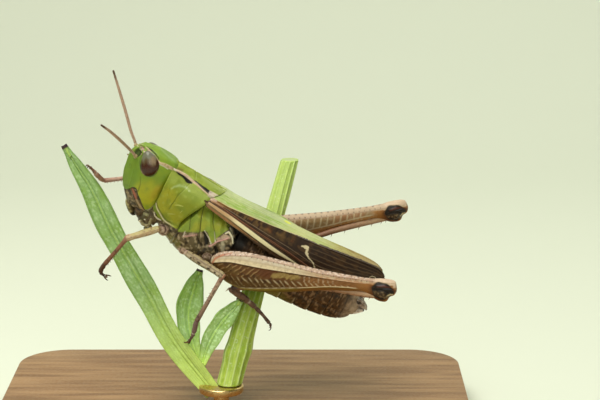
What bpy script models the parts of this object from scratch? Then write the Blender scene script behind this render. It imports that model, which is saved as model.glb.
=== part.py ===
"""A life-size female stripe-winged grasshopper gripping a cut stem, on a small display stand.

Run with: blender --background --python part.py
The insect is drawn in its own frame, in millimetres: X runs from head to tail, Y to its
right side and Z up from its belly to its back.  One empty turns that frame to the pose.
The stem, the leaves and the stand are drawn upright, with the origin under the base.
"""

import math

import bmesh
import bpy
from mathutils import Euler, Matrix, Vector

MM = 0.001

# ---------------------------------------------------------------- driving sizes, millimetres
GAP = 0.06  # clear space between neighbouring pieces
BODY_AT = Vector((-1.7, -0.4, 16.7))  # the insect's own origin, over the base
BODY_TURN = Euler([math.radians(a) for a in (13.0, 29.0, 3.0)])  # roll, pitch, yaw

PRONOTUM_WALL = 0.40
WING_WALL = 0.45
WING_PART = 0.15  # half the parting between the two fore wings on the back
LEG = 0.25  # radius of the thinnest leg joints

BASE_SIZE = Vector((36.0, 26.0, 3.0))
BASE_CORNER = 4.0
CUP_AT = Vector((-1.0, -2.5, 4.2))
CUP_RADIUS = 1.7
CUP_DEPTH = 0.55
ROD_RADIUS = 0.6

# ---------------------------------------------------------------- profiles of the body
# Each is a list of (place, size) stations joined by a smooth curve.
HEAD_FRONT = ((-1.30, -6.75), (-0.50, -7.38), (0.70, -7.90), (1.60, -8.12), (2.30, -8.20),
              (2.85, -8.05), (3.20, -7.70), (3.50, -7.15), (3.70, -6.50))
HEAD_BACK = ((-1.30, -4.75), (-0.60, -4.86), (3.00, -4.92), (3.45, -4.98), (3.70, -5.50))
HEAD_HALF = ((-1.30, 1.00), (-0.60, 1.30), (0.60, 1.52), (1.60, 1.50), (2.50, 1.32),
             (3.10, 1.00), (3.45, 0.75), (3.70, 0.35))
HEAD_PINCH = ((-1.30, 0.10), (0.50, 0.30), (2.00, 0.55), (3.20, 0.60), (3.70, 0.30))
EYE_HALF = Vector((0.70, 0.54, 0.94))  # half sizes of an eye: along, across, tall

DISC_TOP = ((-4.80, 3.38), (-3.70, 3.32), (-2.80, 3.28), (-1.80, 3.20), (-0.60, 3.12))
CARINA_HALF = ((-4.80, 0.86), (-3.90, 0.70), (-3.30, 0.70), (-2.40, 1.00), (-1.50, 1.32), (-0.60, 1.50))
CARINA_DROP = ((-4.80, 0.38), (-3.70, 0.34), (-2.60, 0.40), (-1.50, 0.46), (-0.60, 0.50))
LOBE_FOOT = ((-4.78, 0.30), (-4.50, -0.15), (-4.00, -0.50), (-3.50, -0.72), (-2.40, -0.82))
LOBE_HALF = ((-4.80, 1.62), (-3.80, 1.70), (-2.40, 1.84), (-1.50, 1.92))

THORAX_TOP = ((-4.70, 2.40), (-1.60, 2.30), (-0.50, 2.05), (1.90, 1.95))
THORAX_FOOT = ((-4.70, -0.90), (-4.00, -1.60), (-3.10, -2.20), (-2.10, -2.70), (-0.50, -3.08),
               (1.90, -2.90))

ABDOMEN_TOP = ((1.96, 1.90), (5.00, 1.95), (8.00, 1.95), (11.00, 1.70), (12.50, 1.15), (13.20, 0.50))
ABDOMEN_FOOT = ((1.96, -2.85), (4.00, -2.88), (6.10, -2.82), (8.20, -2.68), (10.00, -2.48),
                (11.50, -2.15), (12.60, -1.74), (13.20, -1.10))
ABDOMEN_HALF = ((1.96, 1.45), (4.00, 1.52), (7.00, 1.38), (10.00, 1.12), (12.00, 0.88), (13.20, 0.42))

WING_MID = ((-1.40, 3.00), (0.00, 3.10), (3.00, 3.15), (6.00, 3.22), (9.00, 3.42), (11.80, 3.58),
            (13.60, 3.20))
WING_FOLD = ((-1.40, 2.45), (0.00, 2.55), (2.00, 2.76), (4.00, 2.92), (6.50, 3.02), (9.00, 3.20),
             (11.50, 3.38), (13.60, 3.05))
WING_FOLD_HALF = ((-1.40, 1.38), (0.00, 1.34), (3.00, 1.24), (7.00, 1.08), (10.00, 0.92), (12.20, 0.74),
                  (13.60, 0.52))
WING_EDGE = ((-1.40, 1.95), (0.00, 1.62), (2.00, 1.48), (4.00, 1.10), (6.00, 0.94), (8.00, 1.00),
             (10.00, 1.32), (12.00, 2.00), (13.10, 2.60), (13.60, 3.00))
WING_EDGE_HALF = ((-1.40, 1.80), (0.00, 1.92), (3.00, 1.98), (7.00, 1.72), (10.00, 1.35), (12.00, 1.00),
                  (13.60, 0.58))

FEMUR_UP = ((0.00, 0.28), (0.05, 0.78), (0.10, 0.98), (0.18, 1.10), (0.28, 1.04), (0.42, 0.84),
            (0.58, 0.64), (0.78, 0.54), (0.87, 0.60), (0.94, 0.76), (0.98, 0.66), (1.00, 0.30))
FEMUR_DOWN = ((0.00, 0.28), (0.04, 1.00), (0.10, 1.60), (0.18, 1.90), (0.27, 1.90), (0.39, 1.64),
              (0.50, 1.30), (0.64, 0.86), (0.75, 0.66), (0.82, 0.52), (0.86, 0.72), (0.90, 1.08),
              (0.94, 1.12), (0.98, 0.72), (1.00, 0.30))
FEMUR_SIDE = ((0.00, 0.22), (0.05, 0.42), (0.18, 0.60), (0.40, 0.52), (0.64, 0.40), (0.80, 0.34),
              (0.93, 0.46), (1.00, 0.24))

# ---------------------------------------------------------------- the hind legs, insect frame
HIND_HIP = Vector((1.00, 2.25, -1.50))
KNEE_LEFT = Vector((13.78, -4.50, 4.36))
KNEE_RIGHT = Vector((12.95, 4.10, 7.30))
HIND_ANKLE_LEFT = Vector((3.35, -2.50, -2.72))
HIND_ANKLE_RIGHT = Vector((3.92, 2.20, -1.42))

# ---------------------------------------------------------------- the perch, upright frame
PERCH_FOOT = 4.82  # height of the cut ends, just over the cup
STEM = ((Vector((-0.55, -2.75, 4.20)), 0.95), (Vector((0.25, -1.10, 6.96)), 0.95),
        (Vector((1.05, 0.50, 9.90)), 0.90), (Vector((2.02, 3.25, 13.20)), 0.80),
        (Vector((3.20, 5.10, 17.00)), 0.76), (Vector((4.20, 6.90, 20.40)), 0.68))
LONG_LEAF = ((Vector((-1.60, -2.95, 4.20)), 0.55), (Vector((-4.65, -1.85, 7.90)), 0.85),
             (Vector((-6.55, -0.90, 11.20)), 0.95), (Vector((-8.22, -0.25, 14.00)), 0.93),
             (Vector((-9.59, 0.15, 16.45)), 0.84), (Vector((-10.88, 0.62, 19.15)), 0.72),
             (Vector((-12.10, 1.00, 21.10)), 0.45), (Vector((-13.00, 1.25, 22.60)), 0.12))
SHORT_LEAF = ((Vector((-3.35, -1.40, 7.10)), 0.55), (Vector((-3.45, -0.10, 9.30)), 0.85),
              (Vector((-3.05, 0.55, 11.20)), 0.72), (Vector((-2.60, 0.95, 12.90)), 0.14))
BRACT = ((Vector((-1.25, -1.95, 7.15)), 0.40), (Vector((-1.00, -1.60, 8.50)), 0.46),
         (Vector((-0.30, -1.20, 9.90)), 0.36), (Vector((0.30, -1.05, 10.90)), 0.10))

COLOURS = {
    "green": (0.22, 0.34, 0.07),
    "face": (0.28, 0.34, 0.08),
    "eye": (0.16, 0.06, 0.04),
    "wing": (0.10, 0.06, 0.04),
    "belly": (0.30, 0.26, 0.20),
    "femur": (0.42, 0.30, 0.15),
    "shin": (0.40, 0.20, 0.12),
    "feeler": (0.36, 0.22, 0.18),
    "stem": (0.20, 0.36, 0.10),
    "wood": (0.62, 0.48, 0.32),
    "brass": (0.70, 0.55, 0.25),
}


# ---------------------------------------------------------------- tools
def along(stations, x):
    """The value at x on a smooth curve through the (place, value) stations."""
    if x <= stations[0][0]:
        return stations[0][1]
    for i in range(len(stations) - 1):
        (x0, v0), (x1, v1) = stations[i], stations[i + 1]
        if x <= x1:
            before = stations[max(i - 1, 0)]
            after = stations[min(i + 2, len(stations) - 1)]
            slope0 = (v1 - before[1]) / (x1 - before[0])
            slope1 = (after[1] - v0) / (after[0] - x0)
            h, t = x1 - x0, (x - x0) / (x1 - x0)
            return ((2 * t**3 - 3 * t**2 + 1) * v0 + (t**3 - 2 * t**2 + t) * h * slope0
                    + (3 * t**2 - 2 * t**3) * v1 + (t**3 - t**2) * h * slope1)
    return stations[-1][1]


def ease(t):
    """0 below 0, 1 above 1, and a smooth step between."""
    t = max(0.0, min(1.0, t))
    return t * t * (3 - 2 * t)


def mix(a, b, t):
    return a + (b - a) * t


def smooth_path(stops, steps):
    """Points on a smooth curve through (point, size) stops, `steps` to each stretch."""
    fields = [[(i, stop[0][axis]) for i, stop in enumerate(stops)] for axis in range(3)]
    sizes = [(i, stop[1]) for i, stop in enumerate(stops)]
    count = (len(stops) - 1) * steps
    places = [i / steps for i in range(count + 1)]
    return [(Vector([along(f, s) for f in fields]), along(sizes, s)) for s in places]


def material(colour, metallic=0.0, roughness=0.5):
    name = "mat_" + colour
    if name in bpy.data.materials:
        return bpy.data.materials[name]
    mat = bpy.data.materials.new(name)
    mat.use_nodes = True
    shader = mat.node_tree.nodes["Principled BSDF"]
    shader.inputs["Base Color"].default_value = (*COLOURS[colour], 1.0)
    shader.inputs["Metallic"].default_value = metallic
    shader.inputs["Roughness"].default_value = roughness
    return mat


def add_object(name, data, colour, parent=None):
    obj = bpy.data.objects.new(name, data)
    bpy.data.collections["grasshopper"].objects.link(obj)
    obj.parent = parent
    data.materials.append(material(colour))
    return obj


def ball(name, around, rings, shape, colour, parent):
    """A closed body: a sphere whose every point is placed by shape(t, angle), poles at t 0 and 1."""
    bm = bmesh.new()
    bmesh.ops.create_uvsphere(bm, u_segments=around, v_segments=rings, radius=1.0)
    for vert in bm.verts:
        t = 1.0 - math.acos(max(-1.0, min(1.0, vert.co.z))) / math.pi
        angle = math.atan2(vert.co.y, vert.co.x)
        vert.co = shape(t, angle) * MM
    if bm.calc_volume(signed=True) < 0:
        bmesh.ops.reverse_faces(bm, faces=bm.faces)
    mesh = bpy.data.meshes.new(name)
    bm.to_mesh(mesh)
    bm.free()
    mesh.shade_smooth()
    return add_object(name, mesh, colour, parent)


def sheet(name, nu, nv, shape, inside, wall, colour, parent):
    """A thick sheet: a grid placed by shape(u, v), u and v 0 to 1, thickened towards the point inside."""
    bm = bmesh.new()
    bmesh.ops.create_grid(bm, x_segments=nu, y_segments=nv, size=1.0)
    for vert in bm.verts:
        vert.co = shape((vert.co.x + 1) / 2, (vert.co.y + 1) / 2) * MM
    bm.normal_update()
    if sum(face.normal.dot(face.calc_center_median() - inside * MM) for face in bm.faces) < 0:
        bmesh.ops.reverse_faces(bm, faces=bm.faces)
    mesh = bpy.data.meshes.new(name)
    bm.to_mesh(mesh)
    bm.free()
    obj = add_object(name, mesh, colour, parent)
    solid = obj.modifiers.new("Thickness", "SOLIDIFY")
    solid.thickness = wall * MM
    solid.offset = -1.0
    return obj


def tube(name, stops, steps, colour, parent=None, sides=8):
    """A round tapered rod through (point, radius) stops, made a welded mesh."""
    curve = bpy.data.curves.new(name, "CURVE")
    curve.dimensions = "3D"
    curve.bevel_depth = MM
    curve.bevel_resolution = (sides - 4) // 2
    curve.use_fill_caps = True
    spline = curve.splines.new("POLY")
    points = smooth_path(stops, steps)
    spline.points.add(len(points) - 1)
    for point, (place, radius) in zip(spline.points, points):
        point.co = (*(place * MM), 1.0)
        point.radius = radius
    return add_object(name, curve, colour, parent)


def carve(obj, neighbour, clear=GAP):
    """Cut room for a neighbour out of obj, wider than it by the clear space."""
    bpy.context.view_layer.update()
    evaluated = neighbour.evaluated_get(bpy.context.evaluated_depsgraph_get())
    mesh = bpy.data.meshes.new_from_object(evaluated)
    bm = bmesh.new()
    bm.from_mesh(mesh)
    bmesh.ops.remove_doubles(bm, verts=bm.verts, dist=0.002 * MM)
    bm.normal_update()
    moved = [(vert, vert.co + vert.normal * clear * MM) for vert in bm.verts]
    for vert, place in moved:
        vert.co = place
    bm.to_mesh(mesh)
    bm.free()
    cutter = bpy.data.objects.new(neighbour.name + "_room", mesh)
    bpy.data.collections["cutters"].objects.link(cutter)
    cutter.parent = neighbour.parent
    cutter.matrix_basis = neighbour.matrix_basis
    cutter.hide_render = True
    cutter.display_type = "WIRE"
    cut = obj.modifiers.new("Room for " + neighbour.name, "BOOLEAN")
    cut.object = cutter
    cut.operation = "DIFFERENCE"


def cut_level(obj, height):
    """Make obj a plain mesh and cut it off level at a height, with a flat face there."""
    bpy.context.view_layer.update()
    mesh = bpy.data.meshes.new_from_object(obj.evaluated_get(bpy.context.evaluated_depsgraph_get()))
    bm = bmesh.new()
    bm.from_mesh(mesh)
    bmesh.ops.remove_doubles(bm, verts=bm.verts, dist=0.002 * MM)
    cut = bmesh.ops.bisect_plane(bm, geom=bm.verts[:] + bm.edges[:] + bm.faces[:], dist=1e-8,
                                 plane_co=(0, 0, height * MM), plane_no=(0, 0, -1), clear_outer=True)
    rim = [part for part in cut["geom_cut"] if isinstance(part, bmesh.types.BMEdge)]
    bmesh.ops.contextual_create(bm, geom=rim)
    bmesh.ops.recalc_face_normals(bm, faces=bm.faces)
    bm.to_mesh(mesh)
    bm.free()
    name, colour = obj.name, obj.data.materials[0].name.removeprefix("mat_")
    bpy.data.objects.remove(obj)
    mesh.materials.clear()
    return add_object(name, mesh, colour)


def to_body(place):
    """A place over the base, in the insect's own frame."""
    return BODY_TURN.to_matrix().inverted() @ (place - BODY_AT)


def on_stem(height, angle, clear):
    """A place by the stem's surface, in the insect's frame: angle 0 is to the right, 90 away."""
    path = smooth_path(STEM, 8)
    i = min(range(1, len(path) - 1), key=lambda i: abs(path[i][0].z - height))
    place, radius = path[i]
    ahead = (path[i + 1][0] - path[i - 1][0]).normalized()
    right = (Vector((1, 0, 0)) - ahead * ahead.x).normalized()
    away = ahead.cross(right)
    a = math.radians(angle)
    return to_body(place + (right * math.cos(a) + away * math.sin(a)) * (radius + clear))


# ---------------------------------------------------------------- head
def make_head(body):
    low, high = HEAD_FRONT[0][0], HEAD_FRONT[-1][0]
    first = 1 / 13

    def shape(t, angle):
        level = max(0.0, (t - first) / (1 - first))
        z = mix(low, high, 0.35 * ease(level) + 0.65 * level)
        front, back = along(HEAD_FRONT, z), along(HEAD_BACK, z)
        fill = min(1.0, t / first, (1 - t) / first * 1.2)
        ahead = math.cos(angle)
        pinch = 1 - along(HEAD_PINCH, z) * max(0.0, ahead) ** 2
        x = (front + back) / 2 - (back - front) / 2 * ahead * fill
        y = along(HEAD_HALF, z) * math.sin(angle) * pinch * fill
        if ahead < 0:
            y = math.copysign(along(HEAD_HALF, z) * abs(math.sin(angle)) ** 0.7, math.sin(angle)) * fill
        return Vector((x, y, z + (0.05 if t > 0.99 else 0.0)))

    return ball("head", 22, 13, shape, "face", body)


def make_eye(body, name, side):
    turn = Matrix.Rotation(math.radians(-25), 3, "Y") @ Matrix.Rotation(math.radians(14 * side), 3, "X")
    centre = Vector((-6.56, 1.03 * side, 2.42))

    def shape(t, angle):
        up = -math.cos(math.pi * t)
        out = math.sin(math.pi * t) * (1 - 0.12 * up)
        x, y = EYE_HALF.x * out * math.cos(angle), EYE_HALF.y * out * math.sin(angle)
        return centre + turn @ Vector((x, y, EYE_HALF.z * up))

    return ball(name, 14, 10, shape, "eye", body)


def make_antennae(body):
    left = ((-7.95, -0.62, 2.42), (-8.50, -1.60, 3.10), (-9.42, -3.00, 3.97), (-10.40, -4.30, 4.75),
            (-11.27, -5.50, 5.38))
    right = ((-7.98, 0.62, 2.62), (-8.84, 0.95, 3.40), (-9.70, 1.15, 4.30), (-10.90, 1.38, 5.52),
             (-12.15, 1.60, 6.77))
    for name, places in (("antenna_left", left), ("antenna_right", right)):
        stops = [(Vector(p), r) for p, r in zip(places, (0.25, 0.25, 0.25, 0.25, 0.22))]
        tube(name, stops, 2, "feeler", body)


def make_mouth(body):
    """Labrum and jaws under the face, and one long palp on each side."""
    front = ((0.0, -6.66), (0.35, -6.20), (0.7, -5.55), (1.0, -4.95))
    back = ((0.0, -4.80), (0.5, -4.50), (1.0, -4.35))
    half = ((0.0, 0.98), (0.4, 0.86), (0.8, 0.62), (1.0, 0.40))

    def shape(t, angle):
        level = max(0.0, min(1.0, (t - 0.12) / 0.78))
        fill = min(1.0, t / 0.12, (1 - t) / 0.12)
        z = mix(-1.37, -2.75, level)
        a, b = along(front, level), along(back, level)
        return Vector(((a + b) / 2 - (b - a) / 2 * math.cos(angle) * fill,
                       along(half, level) * math.sin(angle) * fill, z))

    ball("mouthparts", 14, 9, shape, "belly", body)
    for name, side in (("palp_left", -1), ("palp_right", 1)):
        stops = [(Vector((-4.75, 1.18 * side, -1.62)), 0.2), (Vector((-4.55, 1.25 * side, -2.15)), 0.2),
                 (Vector((-4.85, 1.05 * side, -2.75)), 0.2), (Vector((-5.15, 0.85 * side, -3.05)), 0.17)]
        tube(name, stops, 2, "shin", body, sides=6)


# ---------------------------------------------------------------- thorax
def pronotum_point(u, v):
    """A place on the saddle: u 0 at the left foot, 1 at the right; v 0 in front, 1 behind."""
    across = abs(2 * u - 1)
    side = math.copysign(1.0, u - 0.5)
    edge = 0.375  # share of the half that is the flat disc
    if across <= edge:
        w = across / edge
        x = mix(-4.80, mix(-0.62, -1.45, w ** 1.5), v)
        y = along(CARINA_HALF, x) * w
        z = along(DISC_TOP, x) - along(CARINA_DROP, x) * w ** 1.6
        return Vector((x, side * y, z))
    down = (across - edge) / (1 - edge)
    rear = mix(-1.45, -2.36, ease(down * 1.1 - 0.1))
    front = mix(-4.80, -4.62, down ** 3)
    x = mix(front, rear, v)
    top = along(DISC_TOP, x) - along(CARINA_DROP, x)
    y = mix(along(CARINA_HALF, x), along(LOBE_HALF, x), math.sin(min(1.0, down / 0.6) * math.pi / 2))
    y -= 0.16 * ease((down - 0.6) / 0.4)
    return Vector((x, side * y, mix(top, along(LOBE_FOOT, x), down)))


def make_pronotum(body):
    return sheet("pronotum", 16, 9, pronotum_point, Vector((-3.0, 0.0, 1.0)), PRONOTUM_WALL, "green", body)


def make_thorax(body):
    ends = (-4.68, 1.90)

    def shape(t, angle):
        first = 1 / 14
        x = mix(*ends, max(0.0, min(1.0, (t - first) / (1 - 2 * first))))
        fill = min(1.0, t / first, (1 - t) / first)
        top, foot = along(THORAX_TOP, x), along(THORAX_FOOT, x)
        lift = math.copysign(abs(math.cos(angle)) ** 0.8, math.cos(angle))
        z = (top + foot) / 2 + (top - foot) / 2 * lift * fill
        lobe_rear = mix(-2.30, -1.40, ease((z + 0.8) / 3.2))
        outside = max(ease((x - lobe_rear) / 0.6), 0.25 * ease((-1.0 - z) / 0.5))
        half = mix(1.14, 1.86, outside) * (1 - 0.30 * ease((z - 0.9) / 0.6) * outside)
        width = math.copysign(abs(math.sin(angle)) ** 0.8, math.sin(angle))
        return Vector((x, half * width * fill, z))

    return ball("thorax", 20, 14, shape, "green", body)


# ---------------------------------------------------------------- abdomen
def make_abdomen(body):
    start, end = ABDOMEN_TOP[0][0], ABDOMEN_TOP[-1][0]

    def shape(t, angle):
        first = 1 / 16
        x = mix(start, end, max(0.0, min(1.0, (t - first) / (1 - 2 * first))))
        fill = min(1.0, t / first, (1 - t) / first)
        top, foot = along(ABDOMEN_TOP, x), along(ABDOMEN_FOOT, x)
        z = (top + foot) / 2 + (top - foot) / 2 * math.cos(angle) * fill
        half = along(ABDOMEN_HALF, x) * (1 - 0.28 * ease((z - 0.2) / 0.9))
        return Vector((x, half * math.sin(angle) * fill, z))

    ball("abdomen", 16, 16, shape, "belly", body)

    def valves(t, angle):
        x = mix(13.27, 13.85, t)
        size = math.sin(math.pi * min(1.0, t + 0.15)) ** 0.6
        hook = 0.12 * t
        return Vector((x, 0.26 * size * math.sin(angle), -0.35 + hook + 0.62 * size * math.cos(angle)))

    ball("ovipositor", 10, 6, valves, "shin", body)


# ---------------------------------------------------------------- wings
def wing_point(side, u, v):
    """A place on a folded fore wing: u 0 at the midline, 1 at the costal edge; v 0 at its root."""
    flat = 0.4  # share of the width that lies flat on the back
    tip = mix(13.35, 13.60, ease(1 - abs(u - 0.45) * 2))
    if u <= flat:
        w = u / flat
        x = mix(mix(-0.50, -1.32, w ** 1.5), tip, v)
        y = mix(WING_PART, along(WING_FOLD_HALF, x), w)
        z = mix(along(WING_MID, x), along(WING_FOLD, x), w ** 1.4)
    else:
        w = (u - flat) / (1 - flat)
        x = mix(mix(-1.32, -1.25, w), tip, v)
        y = mix(along(WING_FOLD_HALF, x), along(WING_EDGE_HALF, x), math.sin(w * math.pi / 2))
        z = mix(along(WING_FOLD, x), along(WING_EDGE, x), w)
    return Vector((x, side * y, z))


def make_wings(body):
    for name, side in (("forewing_left", -1), ("forewing_right", 1)):
        def shape(u, v, side=side):
            return wing_point(side, u, v)
        sheet(name, 8, 14, shape, Vector((6.0, 0.0, 1.5)), WING_WALL, "wing", body)


# ---------------------------------------------------------------- legs
def femur_shape(hip, knee, side):
    """The hind thigh: deep near the hip, thin before the knee, its flat side turned out."""
    run = knee - hip
    ahead = run.normalized()
    up = (Vector((0, 0, 1)) - ahead * ahead.z).normalized()
    out = up.cross(ahead) * -1
    if out.y * side < 0:
        out = -out

    def shape(t, angle):
        place = mix(t, (1 - math.cos(math.pi * t)) / 2, 0.6)
        rise = math.cos(angle)
        tall = along(FEMUR_UP, place) if rise > 0 else along(FEMUR_DOWN, place)
        wide = along(FEMUR_SIDE, place) * math.copysign(abs(math.sin(angle)) ** 1.2, math.sin(angle))
        if t < 0.01 or t > 0.99:
            tall, wide = 0.0, 0.0
        return hip + run * place + up * (tall * rise) + out * wide

    return shape


def make_hind_legs(body):
    sides = (("left", -1, KNEE_LEFT, HIND_ANKLE_LEFT), ("right", 1, KNEE_RIGHT, HIND_ANKLE_RIGHT))
    for tag, side, knee, ankle in sides:
        hip = Vector((HIND_HIP.x, HIND_HIP.y * side, HIND_HIP.z))
        run = (knee - hip).normalized()
        down = (run * run.z - Vector((0, 0, 1))).normalized()
        ball("hind_femur_" + tag, 12, 16, femur_shape(hip, knee, side), "femur", body)
        top = knee - run * 2.70 + down * 0.98
        tuck = Vector((0, -0.62 * side, 0))
        inner = [top.lerp(ankle, 0.35) - down * 0.08 + tuck * 0.55, top.lerp(ankle, 0.7) + tuck]
        stops = [(top, 0.25), (inner[0], 0.25), (inner[1], 0.25), (ankle, 0.27)]
        tube("hind_tibia_" + tag, stops, 4, "shin", body)
        out = Vector((0, side, 0))
        coxa = [(hip - run * 0.35 - out * 0.62 + down * 0.15, 0.42), (hip - run * 0.42 - out * 0.12, 0.32)]
        tube("hind_coxa_" + tag, coxa, 2, "green", body)


def make_front_legs(body):
    left_knee, left_ankle = Vector((-5.36, -2.60, -3.02)), Vector((-5.77, -2.00, -6.06))
    right_knee, right_ankle = Vector((-6.40, 2.60, -0.30)), Vector((-8.72, 1.50, -1.55))
    left_foot = ((-5.80, -1.88, -6.25), (-5.78, -1.70, -6.91), (-5.31, -1.50, -7.20))
    right_foot = ((-8.90, 1.42, -1.50), (-9.40, 1.15, -1.21), (-10.20, 0.95, -0.83))
    for tag, side, knee, ankle, foot in (("left", -1, left_knee, left_ankle, left_foot),
                                         ("right", 1, right_knee, right_ankle, right_foot)):
        hip = Vector((-3.50, 1.62 * side, -1.50))
        make_leg(body, "front", tag, hip, knee, ankle, foot, 0.30)
        coxa = [(Vector((-3.15, 1.00 * side, -1.70)), 0.50), (Vector((-3.35, 1.42 * side, -1.62)), 0.38)]
        tube("front_coxa_" + tag, coxa, 2, "green", body)


def make_mid_legs(body):
    left_knee, left_ankle = Vector((2.24, -3.40, -1.72)), Vector((2.29, -3.50, -6.07))
    left_foot = ((2.30, -3.50, -6.28), (2.58, -3.50, -7.03), (2.59, -3.50, -7.85))
    right_knee = Vector((1.70, 3.90, -1.30))
    right_foot = [on_stem(h, a, 0.36) for h, a in ((10.6, 160), (10.1, 130), (9.5, 95))]
    right_ankle = right_foot[0] + Vector((-0.22, 0.10, 0.12))
    for tag, side, knee, ankle, foot in (("left", -1, left_knee, left_ankle, left_foot),
                                         ("right", 1, right_knee, right_ankle, right_foot)):
        hip = Vector((-0.90, 1.85 * side, -2.15))
        make_leg(body, "mid", tag, hip, knee, ankle, foot, 0.32)
        coxa = [(Vector((-1.05, 1.15 * side, -2.22)), 0.52), (Vector((-0.98, 1.62 * side, -2.18)), 0.40)]
        tube("mid_coxa_" + tag, coxa, 2, "green", body)


def make_leg(body, row, tag, hip, knee, ankle, foot, thick):
    """A walking leg of three pieces that stop a little short of each other."""
    thigh, shin = (knee - hip).normalized(), (ankle - knee).normalized()
    stops = [(hip, 0.26), (hip.lerp(knee, 0.35), thick), (hip.lerp(knee, 0.8), thick * 0.92), (knee, 0.28)]
    tube(f"{row}_femur_{tag}", stops, 2, "femur", body)
    start = knee + shin * 0.36 - thigh * 0.10
    tube(f"{row}_tibia_{tag}", [(start, LEG), (start.lerp(ankle, 0.5), LEG), (ankle, LEG)], 2, "shin", body)
    first = Vector(foot[0]) + (Vector(foot[1]) - Vector(foot[0])).normalized() * 0.08
    stops = [(first, LEG), (Vector(foot[1]), LEG), (Vector(foot[2]), 0.2)]
    tube(f"{row}_tarsus_{tag}", stops, 2, "shin", body)


def make_hind_feet(body):
    left = ((3.55, -2.42, -3.02), (4.29, -2.05, -3.35), (5.48, -1.70, -3.55), (6.61, -1.40, -4.00),
            (7.61, -1.30, -4.37))
    right = [HIND_ANKLE_RIGHT + Vector((-0.02, 0.12, -0.34))]
    right += [on_stem(h, a, 0.40) for h, a in ((12.2, 150), (11.9, 115), (12.2, 80), (12.6, 50))]
    for tag, places in (("left", left), ("right", right)):
        radii = (0.27, 0.27, 0.25, 0.25, 0.2)
        tube("hind_tarsus_" + tag, [(Vector(p), r) for p, r in zip(places, radii)], 2, "shin", body)


# ---------------------------------------------------------------- perch and stand
def blade(name, stops, fold):
    """A leaf: a sheet along its stops, as wide as their sizes, folded a little along its middle."""
    path = smooth_path(stops, 2)

    def shape(u, v):
        i = min(len(path) - 2, int(v * (len(path) - 1)))
        part = v * (len(path) - 1) - i
        place = path[i][0].lerp(path[i + 1][0], part)
        half = mix(path[i][1], path[i + 1][1], part)
        ahead = (path[i + 1][0] - path[i][0]).normalized()
        wide = ahead.cross(Vector((0, 1, 0))).normalized()
        across = 2 * u - 1
        front = wide.cross(ahead)
        return place + wide * (half * across) + front * (fold * half * (1 - abs(across)))

    return sheet(name, 4, len(path) - 1, shape, Vector((-5.0, 30.0, 10.0)), 0.36, "stem", None)


def make_perch():
    cut_level(tube("perch_stem", STEM, 3, "stem", sides=12), PERCH_FOOT)
    cut_level(blade("perch_long_leaf", LONG_LEAF, 0.25), PERCH_FOOT)
    blade("perch_short_leaf", SHORT_LEAF, 0.25)
    blade("perch_bract", BRACT, 0.25)


def turned(name, radius, depth, place, colour, bevel):
    bm = bmesh.new()
    r = radius * MM
    bmesh.ops.create_cone(bm, cap_ends=True, segments=24, radius1=r, radius2=r, depth=depth * MM)
    bmesh.ops.translate(bm, verts=bm.verts, vec=(place + Vector((0, 0, depth / 2))) * MM)
    mesh = bpy.data.meshes.new(name)
    bm.to_mesh(mesh)
    bm.free()
    obj = add_object(name, mesh, colour)
    if bevel:
        edge = obj.modifiers.new("Edge", "BEVEL")
        edge.width = bevel * MM
        edge.segments = 2
    return obj


def make_stand():
    outline = bpy.data.curves.new("stand_base", "CURVE")
    outline.dimensions = "2D"
    outline.fill_mode = "BOTH"
    outline.extrude = BASE_SIZE.z / 2 * MM
    spline = outline.splines.new("POLY")
    places = []
    for quarter, (sx, sy) in enumerate(((1, 1), (-1, 1), (-1, -1), (1, -1))):
        centre = Vector((sx * (BASE_SIZE.x / 2 - BASE_CORNER), sy * (BASE_SIZE.y / 2 - BASE_CORNER)))
        for step in range(7):
            a = math.radians(90 * quarter + 15 * step)
            places.append(centre + Vector((math.cos(a), math.sin(a))) * BASE_CORNER)
    spline.points.add(len(places) - 1)
    spline.use_cyclic_u = True
    for point, place in zip(spline.points, places):
        point.co = (place.x * MM, place.y * MM, 0.0, 1.0)
    base = add_object("stand_base", outline, "wood")
    base.location.z = BASE_SIZE.z / 2 * MM
    foot = Vector((CUP_AT.x, CUP_AT.y, BASE_SIZE.z + GAP / 2))
    turned("stand_rod", ROD_RADIUS, CUP_AT.z - GAP - BASE_SIZE.z, foot, "brass", 0)
    turned("stand_cup", CUP_RADIUS, CUP_DEPTH, CUP_AT, "brass", 0.12)


# ---------------------------------------------------------------- assembly
def start_scene():
    for obj in list(bpy.data.objects):
        bpy.data.objects.remove(obj)
    for name in ("grasshopper", "cutters"):
        bpy.context.scene.collection.children.link(bpy.data.collections.new(name))


def main():
    start_scene()
    body = bpy.data.objects.new("body_pose", None)
    bpy.context.scene.collection.objects.link(body)
    body.location = BODY_AT * MM
    body.rotation_euler = BODY_TURN
    head = make_head(body)
    for name, side in (("eye_left", -1), ("eye_right", 1)):
        carve(head, make_eye(body, name, side), 0.04)
    make_antennae(body)
    make_mouth(body)
    make_pronotum(body)
    thorax = make_thorax(body)
    make_abdomen(body)
    make_wings(body)
    make_front_legs(body)
    make_mid_legs(body)
    make_hind_legs(body)
    make_hind_feet(body)
    for row in ("front", "mid", "hind"):
        for tag in ("left", "right"):
            carve(thorax, bpy.data.objects[f"{row}_coxa_{tag}"])
    make_perch()
    make_stand()


main()
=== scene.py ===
"""The looks of a life-size stripe-winged grasshopper on a cut stem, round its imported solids.

The insect is drawn in its own frame, in millimetres: X runs from head to tail, Y to its right
side and Z up from belly to back.  on_stage() turns those places to the pose, in metres.
The stem, the leaves and the stand are drawn upright, with the origin under the base.
"""

import math

import bmesh
import bpy
import numpy as np
from mathutils import Euler, Matrix, Vector


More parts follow.
